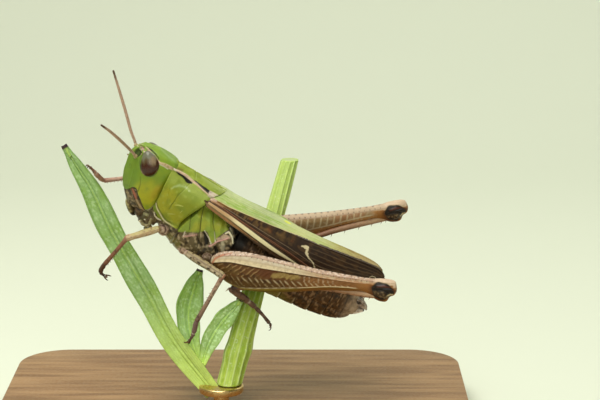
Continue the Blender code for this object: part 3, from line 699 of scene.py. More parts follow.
SIDE_WEDGE = ((-4.5, 2.9), (-4.23, 2.79),
    (-3.93, 2.76), (-3.62, 2.66), (-3.51, 2.6), (-3.35, 2.57), (-2.98, 2.67))
DISC_WEDGE = ((-3, .76), (-2.96, .7), (-2.73, .75),
    (-2.47, .79), (-2.16, .86), (-1.92, .9), (-1.68, .97), (-1.38, 1.02))
EAR_MARK = ((-4.23, 1.76, 0), (-4.1, 1.98, .03),
    (-3.8, 2.22, .05), (-3.52, 2.3, .06), (-3.15, 2.29, .04), (-2.91, 2.23, .02))


def pronotum_point(u, v):
    across, side = np.abs(2 * u - 1), np.sign(u - .5)
    w = np.minimum(across / DISC_SHARE, 1)
    x = mix(-4.8, mix(-.4, -1.25, w**1.5), v)
    y = along(CARINA_HALF, x) * w
    z = along(DISC_TOP, x) - along(CARINA_DROP, x) * w**1.6
    down = np.clip((across - DISC_SHARE) / (1 - DISC_SHARE), 0, 1)
    rear = mix(-1.25, -2.36, ease(down * 1.15)**.9)
    x2 = mix(mix(-4.8, -4.62, down**3), rear, v)
    top = along(DISC_TOP, x2) - along(CARINA_DROP, x2)
    y2 = mix(along(CARINA_HALF, x2), along(LOBE_HALF, x2),
        np.sin(np.minimum(1, down / .6) * np.pi / 2))
    y2 = y2 - .16 * ease(down - .6, .4)
    z2 = mix(top, along(LOBE_FOOT, x2), down)
    disc = across <= DISC_SHARE
    return rows(np.where(disc, x, x2), side * np.where(disc, y, y2), np.where(disc, z, z2))


def pronotum_relief(places, u, v):
    across, x, flat = np.abs(2 * u - 1), places[:, 0], side_view(places)
    inner = along(CARINA_HALF, x) * np.clip(1 - across / DISC_SHARE, 0, 1)
    outer = (along(DISC_TOP, x) - along(CARINA_DROP, x) - places[:, 2]) * (across > DISC_SHARE)
    rise = .07 * bell(np.abs(places[:, 1]), .045)
    keel = np.where(across <= DISC_SHARE, inner, outer)
    rise += .08 * bell(keel, .06) - .03 * bell(keel - .17, .09)
    lobe = across > DISC_SHARE
    rise -= np.where(lobe, .05 * stroke(flat, [(*s, .015) for s in SULCUS], .08), 0)
    crease = bell(x + 3 + .1 * np.cos(across * 8), .035)
    rise -= np.where(lobe, 0, .045 * crease)
    rise += np.where(lobe, .03 * spot(flat, (-3.95, 1.1), (.45, 1.2), 1.2), 0)
    rise += np.where(lobe, .04 * spot(flat, (-2.7, 1), (.6, 1.2), 1.2), 0)
    rise -= np.where(lobe,
        .035 * stroke(flat, ((-4.3, 1.75, .02), (-4.15, 1.2, .02), (-3.9, .7, .01)), .1), 0)
    rim = np.minimum(v * 3.2 + lobe, (1 - across) * 5 + ease(x + 2.9, .4))
    rise += .03 * bell(rim - .06, .05) - .025 * bell(rim - .2, .06)
    rise -= .05 * ease(v - .95, .05) * lobe
    grain = cloud(folded(places), .11, 8)
    return rise + .022 * (cloud(folded(places), .45, 2) - .5) - .012 * ease(.28 - grain, .2)


def pronotum_coat(places, u, v):
    across, flat = np.abs(2 * u - 1), side_view(places)
    x, y, z = folded(places).T
    lobe, disc = across > DISC_SHARE, across <= DISC_SHARE
    blotch = stroke(flat, EAR_MARK, .24)
    speckle = lumps(places, .12, 21, 3, .6)
    dots = (stroke(flat, ((-3, 2.21, .02), (-2.96, 2.2, .02)), .1)
        + stroke(flat, ((-3.35, 2.29, .02), (-3.2, 2.3, .02)), .1))
    curl = stroke(flat, ((-4.4, 1.93, .01), (-4.37, 1.77, .02), (-4.13, 1.58, .01)), .08)
    furrow = stroke(flat,
        ((-3.61, 1.75, 0), (-3.55, 1.19, .02), (-3.61, .78, .03), (-3.62, .3, .01)), .08)
    mark = stroke(flat, ((-3.41, .85, .02), (-3.13, 1.01, .03), (-2.82, 1.09, .02)), .06)
    mark = np.maximum(mark,
        stroke(flat, ((-3.53, -.11, .01), (-3.28, .05, .03), (-3.03, .21, .01)), .06))
    mark = np.maximum(mark, stroke(flat, ((-2.78, .49, .01), (-2.72, .74, .02)), .06))
    foot = z - along(LOBE_FOOT, x)
    border = lobe * ease(x + 4.75, .15) * ease(-2.5 - x, .3)
    hem = ease(x + 3.2, .5) * bell(foot - .05, .16)
    front = bell(x - along(((0, -4.45), (1.5, -4.95), (3, -4.9)), z), .16) * ease(z - .9, .5)
    # painted shadow: a brown-olive shade on the front of the disc along the keel
    shade = np.where(disc, ease(y - along(CARINA_HALF, x) + .34, .1), 0) * ease(-3.95 - x, .15)
    low = lobe * above(x, z, SIDE_WEDGE, .04) * ease(x + 4.5, .05) * ease(-2.98 - x, .05)
    high = disc * above(x, y, DISC_WEDGE) * ease(x + 2.99, .05) * ease(-1.36 - x, .08)
    stripe = stroke(folded(places), KEEL_STRIPE)
    corner = ease(x + 1.66, .12) * ease(y - .93, .08) * ease(z - 2.52, .08)
    groove = stroke(rows(x, y), ((-2.14, .09, 0), (-1.8, .1, .02), (-1.5, .1, .01)))
    return layers(plain(places, (.245, .305, .034)),
        (.19, .215, .009), lobe * ease(2.2 - z, .8),
        (.32, .3, .014), lobe * .8 * spot(flat, (-4.1, .7), (.7, 1.2), .9),
        (.3, .28, .014), lobe * .7 * spot(flat, (-3, 0), (.7, .6), .9),
        (.275, .33, .058), lobe * .8 * ease(z - 1.9, .6),
        (.14, .19, .012), .45 * lumps(places, .4, 6, 2.5, 1),
        (.32, .37, .07), .35 * lumps(places, .25, 16, 3, 1.7),
        (.42, .52, .22), lobe * blotch * .9 * (.45 + .55 * speckle),
        (.5, .55, .3), .8 * lobe * dots,
        (.12, .18, .02), .7 * lobe * curl,
        (.06, .1, .012), .8 * lobe * furrow,
        (.46, .46, .12), .8 * lobe * mark,
        (.05, .06, .012), .8 * border * bell(foot - .19, .05),
        (.58, .48, .33), .95 * border * ease(.13 - foot, .05),
        (.42, .46, .05), .7 * lobe * hem,
        (.4, .42, .045), .6 * lobe * front,
        # painted shadow on the front of the disc along the keel
        (.17, .14, .03), .75 * shade * ease(x + 4.62, .15),
        BLACK, np.maximum(low, high),
        (.66, .47, .33), stripe,
        (.76, .6, .5), stripe * ease(-4.45 - x, .1),
        (.6, .48, .4), .9 * corner * (.7 + .3 * speckle),
        (.4, .42, .13), .75 * disc * ease((.035 - y) / .03 + .4),
        (.07, .1, .012), .8 * disc * groove)


def make_pronotum():
    saddle = sheet("pronotum_saddle", 300, 140,
        pronotum_point, (-3, 0, 1), .16, pronotum_coat, SHELL, pronotum_relief)
    keep(saddle, "shell_green", "pronotum")


# ---------------------------------------------------------------- thorax
THORAX_TOP = ((-4.7, 2.4), (-1.6, 2.3), (-.5, 2.05), (1.9, 1.95))
THORAX_FOOT = ((-4.7, -.9), (-4, -1.6), (-3.1, -2.2), (-2.1, -2.7), (-.5, -3.08), (1.9, -2.9))
SUTURES = (((-1.98, .78, .02), (-1.76, .2, .02), (-1.48, -.4, .02)),
    ((-1.51, 1.83, .02), (-1.11, .74, .025), (-.83, .05, .03), (-.5, -.75, .04),
    (-.32, -1.45, .03)), ((-.52, 1.47, .02), (-.14, .84, .02), (.3, .3, .02), (.55, -.1, .015)))
CHEST_FORMS = ((.06, .35, ((-1.62, -.4, .1), (-1.75, .3, .12))),  # height, softness, line
    (.08, .35, ((-1.05, -.1, .1), (-1.35, .8, .12))),
    (.1, .4, ((-.2, .4, .1), (-.7, 1.3, .15))),
    (.12, .4, ((.62, .45, .1), (.3, 1.2, .18))),
    (-.2, .26, ((-.4, -.16, .12), (-.1, -.46, .2), (.16, -.8, .14))),
    (-.14, .2, ((-.8, -.58, .06), (-.42, -.92, .12), (-.12, -1.15, .12))),
    (-.3, .2, ((.9, 1.3, .1), (1.3, 1.2, .14), (1.9, .8, .2))),
    (-.22, .16, ((.86, -.66, .12), (1.1, -.95, .16))),
    (.07, .1, ((-1.62, -1.08, .03), (-.86, -.46, .03))),
    (.1, .12, ((.46, -.74, .03), (.76, -.14, .03), (1.34, .46, .03))),
    (.12, .14, ((1, .72, .05), (1.17, .93, .07), (1.58, .68, .05), (1.86, .28, .03))),
    (.05, .08, ((-.48, .1, .03), (.52, -.62, .03))))
GREEN_EDGE = ((-2.4, -1.1), (-1.8, -.74), (-1.33, -.48), (-.78, -.17), (-.5, .12),
    (-.2, .1), (.1, -.2), (.42, -.5), (.56, -.34), (.6, .05), (.8, .6), (1, .95), (1.3, 1.4))


def thorax_point(t, angle):
    first = 1 / 14
    x = mix(-4.68, 1.9, np.clip((t - first) / (1 - 2 * first), 0, 1))
    fill = dome(np.minimum(t, 1 - t) / first)
    top, foot = along(THORAX_TOP, x), along(THORAX_FOOT, x)
    lift = signed_power(np.cos(angle), .8)
    z = (top + foot) / 2 + (top - foot) / 2 * lift * fill
    lobe_rear = mix(-2.3, -1.4, ease(z + .8, 3.2))
    outside = np.maximum(ease(x - lobe_rear, .15), .25 * ease(-1 - z, .5))
    half = mix(1.14, 1.8, outside) * (1 - .28 * ease(z - .9, .6) * outside)
    wide = signed_power(np.sin(angle), .8)
    return rows(x, half * wide * fill, z)


def thorax_relief(places, t, angle):
    flat = side_view(places)
    x, z = flat.T
    rise = np.zeros(len(x))
    for line in SUTURES:
        rise -= .09 * stroke(flat, line, .1)
    for height, soft, line in CHEST_FORMS:
        rise += height * stroke(flat, line, soft)
    under = ease(-.9 - z, .4)
    rise -= .06 * under * bell(x + 2, .08) + .06 * under * bell(x + .1, .08)
    return rise + .05 * (cloud(folded(places), .35, 4) - .5) * (.4 + under)


def thorax_coat(places, t, angle):
    flat, side = side_view(places), folded(places)
    x, z = flat.T
    edge = above(x, z, GREEN_EDGE, .07)
    green = layers(plain(places, (.22, .29, .034)),
        (.31, .32, .03), lumps(side, .5, 5, 2, .6),
        (.42, .44, .1), .6 * stroke(flat, ((.95, .75, .05), (.72, 1.2, .08)), .2))
    mottle = stroke(flat, ((-1.7, -.85, .05), (-1.2, -.58, .08), (-.95, -.4, .05)), .12)
    colour = layers(plain(places, (.12, .085, .04)),
        (.38, .29, .17), .9 * lumps(side, .17, 3, 4, 1.8),
        (.022, .014, .009), .9 * lumps(side, .24, 13, 4, 1.9),
        (.2, .19, .05), .5 * ease(-1.4 - z, .6) * (x < -1.5),
        green, edge,
        (.4, .28, .2), .8 * mottle * lumps(side, .13, 23, 4, 1.8),
        (.035, .02, .01), .9
            * stroke(flat, ((-.8, -.58, .04), (-.42, -.92, .1), (-.12, -1.15, .1)), .1),
        BLACK, stroke(flat, ((-.36, -.14, .08), (-.08, -.44, .16), (.16, -.8, .11)), .08))
    for line in (((-.5, .14, .02), (.1, -.24, .035), (.52, -.66, .05)),
            ((.2, .4, .015), (.62, -.24, .04))):
        colour = tint(colour, (.66, .58, .46), .9 * stroke(flat, line))
    colour = layers(colour,
        BLACK, stroke(flat, ((.98, 1.3, .16), (1.9, 1.05, .25), (2, -.05, .12), (1.5, -.1, .04)),
            .1) * ease(x - .66, .1),
        BLACK, .9 * stroke(flat, ((.84, -.66, .1), (1.1, -.95, .14)), .1))
    for line in SUTURES:
        colour = tint(colour, (.045, .035, .012), .9 * stroke(flat, line, .055))
    hook = stroke(flat, ((.98, .7, .05), (1.17, .93, .08), (1.58, .68, .07), (1.86, .28, .03)), .06)
    return layers(colour,
        (.6, .32, .28), .9 * stroke(flat, ((-1.62, -1.08, .05), (-.86, -.46, .05)), .06),
        (.66, .56, .46), .8 * stroke(flat, ((-1.66, -1.1, .03), (-1.74, -.66, .03))),
        (.52, .36, .26), .85 * stroke(flat, ((.66, .02, .06), (1.1, .5, .16), (1.4, .55, .1)), .12)
            * (.4 + cloud(side, .14, 33)),
        (.6, .54, .38), .8 * stroke(flat, ((1.1, 0, .1), (1.3, -.3, .16), (1.45, -.6, .12)), .15)
            * (.3 + cloud(side, .16, 37)),
        (.64, .33, .3), stroke(flat,
            ((.4, -.8, .05), (.52, -.66, .05), (.76, -.14, .05), (1.34, .46, .05)), .06),
        (.76, .68, .48), hook)


def make_thorax():
    chest = ball("thorax_plates", 280, 220, thorax_point, thorax_coat, SHELL, thorax_relief)
    keep(chest, "shell_green", "thorax")


# ---------------------------------------------------------------- abdomen
ABDOMEN_TOP = ((1.96, 1.9), (5, 1.95), (8, 1.95), (11, 1.5), (12.2, .75), (12.9, .2))
ABDOMEN_FOOT = ((1.96, -2.85), (4, -2.88),
    (6.1, -2.82), (8.2, -2.68), (10, -2.48), (11.5, -2.15), (12.4, -1.68), (12.9, -1))
ABDOMEN_HALF = ((1.96, 1.45), (4, 1.52), (7, 1.38), (10, 1.12), (12, .85), (12.9, .42))
RING_LENGTH = 1.22


def abdomen_point(t, angle):
    first = 1 / 16
    x = mix(1.96, 12.9, np.clip((t - first) / (1 - 2 * first), 0, 1))
    fill = dome(np.minimum(t, 1 - t) / first)
    top, foot = along(ABDOMEN_TOP, x), along(ABDOMEN_FOOT, x)
    z = (top + foot) / 2 + (top - foot) / 2 * np.cos(angle) * fill
    half = along(ABDOMEN_HALF, x) * (1 - .28 * ease(z - .2, .9))
    return rows(x, half * np.sin(angle) * fill, z)


def ring_place(places):
    """How far along its own ring a place is, 0 to 1; the rings lean back towards the belly."""
    return (places[:, 0] - 2 + .1 * places[:, 2]) / RING_LENGTH % 1


def abdomen_relief(places, t, angle):
    part = ring_place(places)
    rise = .03 * part - .06 * bell(part - .03, .05) - .02 * bell(part - .99, .03)
    pleat = places[:, 2] + 1.15
    rise -= .08 * bell(pleat, .1)
    return rise + .05 * (cloud(folded(places), .3, 6) - .5) - .02


def abdomen_coat(places, t, angle):
    side = folded(places)
    x, z = side[:, 0], side[:, 2]
    part = ring_place(places)
    streaks = cloud(side * np.array((1, 1, .35)), .1, 3)
    dots = ease(.25 - np.abs(x * 2.4 % 1 - .5), .1) * bell(z + 1.5, .12)
    return layers(plain(places, (.068, .029, .007)),
        (.24, .135, .066), .8 * ease(streaks * 3.5 - 1.7),
        (.022, .012, .006), .8 * lumps(side, .22, 12, 4, 2.3),
        (.2, .17, .03), .7 * spot(side_view(places), (5.4, -2.4), (2.4, .8), .9),
        (.44, .32, .22), .75 * ease(x - 11.4, 1.2) * (.45 + cloud(side, .2, 41)),
        (.42, .33, .2), .6 * bell(part - .94, .05) * ease(-1.4 - z, .5),
        (.02, .012, .006), .5 * bell(part - .03, .05),
        (.03, .02, .01), .6 * dots,
        (.015, .011, .008), ease(3.4 - x, .9) * ease(z + .6, .5))


def make_abdomen():
    keep(ball("abdomen_rings", 220, 330, abdomen_point, abdomen_coat, BELLY, abdomen_relief),
        "belly_brown", "abdomen")

    def coat(p, t, angle):
        pale = stroke(side_view(p),
            ((12.55, -.95, .05), (13.05, -.72, .07), (13.35, -.42, .05)), .1)
        return layers(plain(p, (.52, .42, .34)),
            (.14, .075, .045), .8 * lumps(p, .16, 4, 4, 2.1),
            HORN_TIP, .9 * spot(side_view(p), (12.75, .22), (.28, .16), .5),
            (.85, .72, .63), .95 * pale,
            (.02, .014, .01), ease(t - .88, .06))

    for tag, side in SIDES:
        y = .15 * side
        upper = [(12.3, y, .08, .3), (12.95, y, .1, .27),
            (13.38, y * .9, -.02, .17), (13.64, y * .8, -.18, .06)]
        lower = [(12.2, y, -.74, .32), (12.8, y, -.68, .28),
            (13.22, y * .9, -.46, .17), (13.5, y * .8, -.3, .06)]
        flap = [(12.5, .45 * side, .36, .15), (12.9, .42 * side, .34, .12),
            (13.14, .34 * side, .28, .05)]
        upper = limb("upper", upper, 28, 40, coat, BELLY, crowd=.4)
        lower = limb("lower", lower, 28, 40, coat, BELLY, crowd=.4)
        flap = limb("flap", flap, 24, 24, coat, BELLY, crowd=.4)
        valves = joined("egg_valves_" + tag, [upper, lower, flap])
        keep(valves, "belly_brown", *(["ovipositor"] if side == LEFT else []))


# ---------------------------------------------------------------- fore wings
WING_MID = ((-1.4, 3), (0, 3.1), (3, 3.13),
    (6, 3.18), (8, 3.26), (9.4, 3.27), (10.7, 3.31), (11.8, 3.42), (12.65, 3.4), (13.6, 3))
WING_FOLD = ((-1.4, 2.45), (0, 2.55), (2, 2.7),
    (4, 2.86), (6.1, 3), (8.1, 3.18), (10.1, 3.4), (11.7, 3.55), (12.7, 3.5), (13.6, 3.1))
WING_FOLD_HALF = ((-1.4, 1.38), (0, 1.34),
    (3, 1.24), (7, 1.08), (10, .92), (12.2, .74), (13.6, .52))
WING_EDGE = ((-1.4, 2.02), (-.5, 1.86), (.55, 1.68),
    (2, 1.49), (4, 1.12), (6, .94), (8, 1), (10, 1.32), (12, 1.85), (13, 2.15), (13.6, 2.5))
WING_EDGE_HALF = ((-1.4, 1.8), (0, 1.92), (3, 1.98), (7, 1.72), (10, 1.35), (12, 1), (13.6, .58))
WING_TOP = .4  # share of the width that lies flat on the back

WHITE_VEIN = ((-1.25, 2.26, .05), (-.45, 2.18, .08),
    (.7, 2.07, .11), (1.61, 1.95, .13), (2.53, 1.81, .14),
    (3.45, 1.65, .14), (4.41, 1.48, .14), (5.32, 1.36, .12), (6.03, 1.29, .09), (7.2, 1.16, .02))
RED_VEIN = ((-1.1, 2.44, .03), (.23, 2.3, .05), (1.5, 2.16, .06),
    (2.6, 2.06, .07), (4.07, 1.92, .08), (4.98, 1.8, .08), (5.9, 1.7, .07), (7.88, 1.36, .03))
UPPER_VEIN = ((-1.1, 2.52, .02), (.4, 2.42, .02),
    (2.2, 2.32, .02), (4, 2.18, .02), (5.6, 2.05, .02), (7.6, 1.8, .015), (9.6, 1.75, .01))
WHITE_MARK = ((6.55, 2.54, .05), (6.74, 2.6, .11),
    (6.98, 2.64, .11), (6.98, 2.44, .08), (7.06, 2.26, .11),
    (7.2, 2.16, .07), (7.38, 2.05, .05), (7.64, 1.95, .04), (7.95, 1.75, .03), (8.2, 1.58, .02))
TIP_VEINS = 7


def wing_down(u):
    """Share of the way from the fold beside the back to the front edge."""
    return np.clip((u - WING_TOP) / (1 - WING_TOP), 0, 1)


def wing_point(side, reach, sink):
    """A folded fore wing: u 0 by the midline, 1 at its front edge; v 0 at its root."""

    def shape(u, v):
        """The root is raised a little so that it meets the rim of the saddle."""
        tip = 12.8 + .78 * ease(u - .2, .45) - .18 * ease(u - .7, .3)
        w = np.minimum(u / WING_TOP, 1)
        x = mix(mix(-.9, -1.7, w**1.5), tip, v)
        y = mix(reach, along(WING_FOLD_HALF, x), w)
        z = mix(along(WING_MID, x), along(WING_FOLD, x), w**1.4) - sink * (1 - w)
        down = wing_down(u)
        x2 = mix(mix(-1.7, -1.35, down), tip, v)
        y2 = mix(along(WING_FOLD_HALF, x2), along(WING_EDGE_HALF, x2), np.sin(down * np.pi / 2))
        z2 = mix(along(WING_FOLD, x2), along(WING_EDGE, x2), down)
        top = u <= WING_TOP
        x = np.where(top, x, x2)
        z = np.where(top, z, z2) + .14 * ease(.4 - x, 1.2) * ease(x + 1.45, .3) * ease(.62 - u, .2)
        z = z - .22 * ease(-1.15 - x, .4) * ease(.62 - u, .2)
        z = z - .24 * (side == RIGHT) * ease(x - 3.8, 3) * (1 - down)
        return rows(x, side * np.where(top, y, y2), z)

    return shape


def tip_veins(u, x):
    """Fine lengthwise veins of the outer half of a wing, 1 on a vein."""
    down = wing_down(u)
    bow = down + .03 * np.sin(x * .9 + down * 4)
    return bell(bow * TIP_VEINS % 1 - .5, .11) * ease(x - 6.2, 2) * (down > .04)


def cross_veins(places, u):
    down = wing_down(u)
    x = places[:, 0]
    lean = x + .5 * down + .1 * np.sin(down * 40)
    return bell(lean / .3 % 1 - .5, .13) * (down > .02)


def wing_relief(places, u, v):
    flat = side_view(places)
    x = places[:, 0]
    top = u <= WING_TOP
    rise = .05 * stroke(flat, WHITE_VEIN, .1) * ~top + .05 * stroke(flat, RED_VEIN, .08) * ~top
    rise += .03 * stroke(flat, UPPER_VEIN, .06) * ~top + .025 * tip_veins(u, x)
    rise += .01 * cross_veins(places, u) * ~top
    rise += .05 * bell(u - WING_TOP, .012)
    for share, size in ((.1, .02), (.2, .025), (.3, .02)):
        rise += top * size * bell(u - share - .01 * np.sin(x), .01)
    rise += .03 * bell(1 - u, .02)
    return rise + .01 * (cloud(places, .18, 3) - .5) - .02


def wing_coat(places, u, v):
    side, flat = folded(places), side_view(places)
    x, z = flat.T
    top = u <= WING_TOP
    down = wing_down(u)
    fine = cloud(side, .16, 5)
    lighter = ease(x + .6, .8) * ease(6.2 - x, 1.2) * ease(.42 - down, .2)
    bars = cloud(rows(x + .25 * down, z * .25), .13, 6)
    below = 1 - above(x, z, [(s[0], s[1] - s[2]) for s in WHITE_VEIN])
    rust = stroke(flat,
        ((-1.2, 2.02, .05), (.6, 1.78, .06), (2.2, 1.58, .04), (3.4, 1.38, .02)), .08)
    under = stroke(flat, [(a, b, c + .05) for a, b, c in RED_VEIN])
    colour = layers(plain(places, (.026, .012, .006)),
        (.07, .034, .012), .8 * lumps(side * np.array((.4, 1, 1)), .14, 9, 3, 1.4),
        (.16, .088, .026), .65 * lighter * ease(bars * 4 - 2.1) * (.3 + fine),
        (.18, .055, .012), .6 * lighter * lumps(side, .45, 14, 4, 2.6),
        (.014, .007, .004), .8 * lighter * lumps(side, .4, 19, 4, 1.9),
        (.21, .09, .022), .85 * ease(1 - x, 1.4) * ease(.24 - down, .14),
        (.105, .068, .036), .8 * tip_veins(u, x),
        (.055, .026, .01), .9 * below * (x < 7.2),
        (.2, .12, .05), .85 * below * ease(3.4 - x, 3) * (.6 + .6 * fine),
        (.3, .13, .04), .7 * rust * below * (.5 + fine),
        (.03, .013, .007), under * ~top)
    for drop in (-.045, .045):
        colour = tint(colour, (.21, .085, .04),
            ~top * stroke(flat, [(a, b + drop, .018) for a, b, c in RED_VEIN], .04))
    white = stroke(flat, WHITE_VEIN) * ~top
    mark = stroke(flat + .1 * rows(fine, cloud(side, .16, 8)) - .05, WHITE_MARK) * ~top
    curl = stroke(flat,
        ((12.28, 2.66, .02), (12.42, 2.84, .025), (12.7, 2.86, .02), (12.8, 2.74, .015)), .04)
    green = layers(plain(places, (.35, .43, .13)),
        (.26, .38, .07), lumps(side * np.array((.25, 1, 1)), .12, 4, 3, 1.2),
        (.44, .5, .24), .7 * ease(.19 - u, .03),
        (.52, .56, .3), .5 * lumps(side * np.array((.2, 1, 1)), .1, 24, 4, 2.4))
    green = green * (1 - .16 * bell(x - 3, 1.3)[:, None])
    colour = layers(colour,
        (.22, .15, .09), .75 * ~top * stroke(flat, UPPER_VEIN, .04),
        (.7, .61, .36), white,
        (.4, .21, .085), .85 * white * ease(1.7 - x, 1.6),
        (.66, .56, .34), mark,
        (.6, .5, .32), curl * ~top)
    green = layers(green,
        (.46, .44, .17), .6 * bell(x - 6.2, 1.3),
        (.4, .36, .11), ease(x - 6.5, 3.5),
        (.24, .14, .055), .7 * ease(x - 8, 3) * lumps(side * np.array((.3, 1, 1)), .12, 34, 4, 1.7),
        (.36, .27, .11), ease(x - 9.6, 2.2),
        (.2, .13, .06), .8 * ease(x - 12.2, 1.2))
    for share in (.1, .2, .3):
        vein = bell(u - share - .01 * np.sin(x), .008)
        green = tint(green, (.44, .48, .2), .55 * vein * ease(8 - x, 3))
    border = WING_TOP + .02 * ease(.5 - x, 1.5)
    border = (border
        - np.where(places[:, 1] < .3, .07 * ease(x - 3.5, 3.5) + .11 * ease(x - 7.5, 4), -.08))
    ragged = cloud(side, .1, 28) + fine - 1
    back = ease(border + .012 + .045 * ragged * ease(x - 4, 4) - u, .014 + .03 * ease(x - 6, 4))
    green = tint(green, (.6, .4, .24), .8 * bell(u - border + .006, .014) * ease(8.5 - x, 4))
    near = spot(rows(x, places[:, 1]), (4.86, .06), (.3, .14), .7)
    return layers(colour,
        green, back,
        (.52, .3, .16), .8 * stroke(side, ((-1.1, 1.46, 2.44, .1), (-.2, 1.46, 2.42, .05)), .12),
        (.6, .42, .34), .9 * stroke(side, ((-1.3, 1.25, 2.5, .22), (-.85, 1.36, 2.52, .1)), .12),
        (.6, .64, .04), .95 * near * top * (.8 + .3 * fine),
        (.1, .06, .03), .5 * bell(1 - v, .012))


def make_wings():
    for tag, side, reach, sink in (("left", LEFT, -.3, -.02), ("right", RIGHT, -.12, .14)):
        wing = sheet("fore_wing_" + tag, 130, 330,
            wing_point(side, reach, sink), (6, 0, 1.5), .08, wing_coat, WING, wing_relief)
        keep(wing, "wing_brown", "forewing_" + tag)


# ---------------------------------------------------------------- hind legs
FEMUR_UP = ((0, .28), (.05, .74), (.1, .9), (.18, 1),
    (.28, .94), (.42, .77), (.58, .6), (.78, .53), (.87, .6), (.94, .74), (.985, .66), (1, .3))
FEMUR_DOWN = ((0, .28), (.04, 1), (.1, 1.6),
    (.18, 1.9), (.27, 1.9), (.39, 1.64), (.5, 1.3), (.64, .86), (.75, .66), (.82, .54),
    (.86, .74), (.9, 1.04), (.935, 1.1), (.955, .98), (.968, .62), (.985, .48), (1, .28))
FEMUR_SIDE = ((0, .22), (.05, .42), (.18, .6),
    (.4, .52), (.64, .4), (.8, .34), (.93, .46), (1, .24))
HIP = np.array((1, 2.25, -1.5))
RIB_STEP, BAR_STEP, TOOTH_STEP = .47, .52, .42  # mm from one to the next along a thigh
KNEE_AT = .93  # share of the thigh at the middle of its knee plate
KNEES = {LEFT: np.array((13.78, -4.5, 4.36)), RIGHT: np.array((12.95, 4.1, 7.3))}
ANKLES = {LEFT: np.array((3.35, -2.5, -2.72)), RIGHT: np.array((3.92, 2.2, -1.42))}

BAND_TOP = ((0, .3), (.06, .54), (.13, .74), (.21, .86),
    (.28, .82), (.35, .72), (.43, .62), (.54, .47), (.64, .4), (.75, .4), (.87, .47), (1, .6))
BAND_LOW = ((0, -.2), (.012, -.12), (.06, .1), (.11, .24),
    (.165, .25), (.27, .2), (.43, .17), (.54, .15), (.75, .15), (.82, .2), (.87, .28), (1, .4))
RIB_MIDDLE = ((0, -.5), (.07, -.71), (.126, -.77), (.18, -.78), (.235, -.73),
    (.29, -.68), (.36, -.6), (.44, -.5), (.54, -.41), (.65, -.29), (.8, -.15), (1, -.1))
PALE_LINE = ((.03, -.95), (.1, -1.45), (.168, -1.76), (.225, -1.68),
    (.29, -1.52), (.386, -1.26), (.49, -.98), (.545, -.81), (.65, -.49), (.756, -.31), (.84, -.3))
OLIVE_PATCH = ((.35, -.3, .01), (.395, -.12, .03), (.44, -.22, .03), (.475, -.1, .008))


class Thigh:
    """A hind thigh's own directions: s is the share from hip to knee, q the height, w outwards."""

    def __init__(self, side):
        self.knee = KNEES[side]
        self.hip = HIP * (1, side, 1)
        run = self.knee - self.hip
        self.length = np.linalg.norm(run)
        self.ahead = run / self.length
        self.up = unit(UP - self.ahead * self.ahead[2])
        out = np.cross(self.ahead, self.up)
        self.out = out * np.sign(out[1] * side)

    def ways(self, places):
        local = places - self.hip
        return local @ self.ahead / self.length, local @ self.up, local @ self.out

    def shape(self, t, angle):
        rise = np.cos(angle)
        tall = np.where(rise > 0, along(FEMUR_UP, t), along(FEMUR_DOWN, t))
        wide = along(FEMUR_SIDE, t) * signed_power(np.sin(angle), 1.2)
        fill = dome(np.minimum(t, 1 - t) / .012)
        return (self.hip + self.ahead * (t * self.length)[:, None]
            + self.up * (tall * rise * fill)[:, None] + self.out * (wide * fill)[:, None])


def rib_beat(s, q, length):
    """Where a place lies between two slanting ribs, 0 to 1, the ribs meeting at the middle line."""
    lift = q - along(RIB_MIDDLE, s)
    slant = s * length - 1.05 * np.maximum(lift, 0) - .85 * np.maximum(-lift, 0)
    wander = .1 * np.sin(s * 47) + .06 * np.sin(s * 111) + .05 * np.sin(lift * 9 + s * 70)
    return (slant / RIB_STEP + wander) % 1, lift


def knee_reach(s, q, length):
    """How far out from the middle of the dark, notched knee plate a place is: 1 at its rim."""
    ahead, up = ((s - KNEE_AT) * length + .1 * (q + .16)) / .84, (q + .17) / .7
    turn = np.arctan2(up, ahead)
    rim = 1 + .04 * np.sin(3 * turn + 1) + .03 * np.sin(7 * turn)
    rim -= .26 * bell(turn + .46, .16) + .14 * bell(turn + .95, .4)
    return np.hypot(ahead, up) / rim


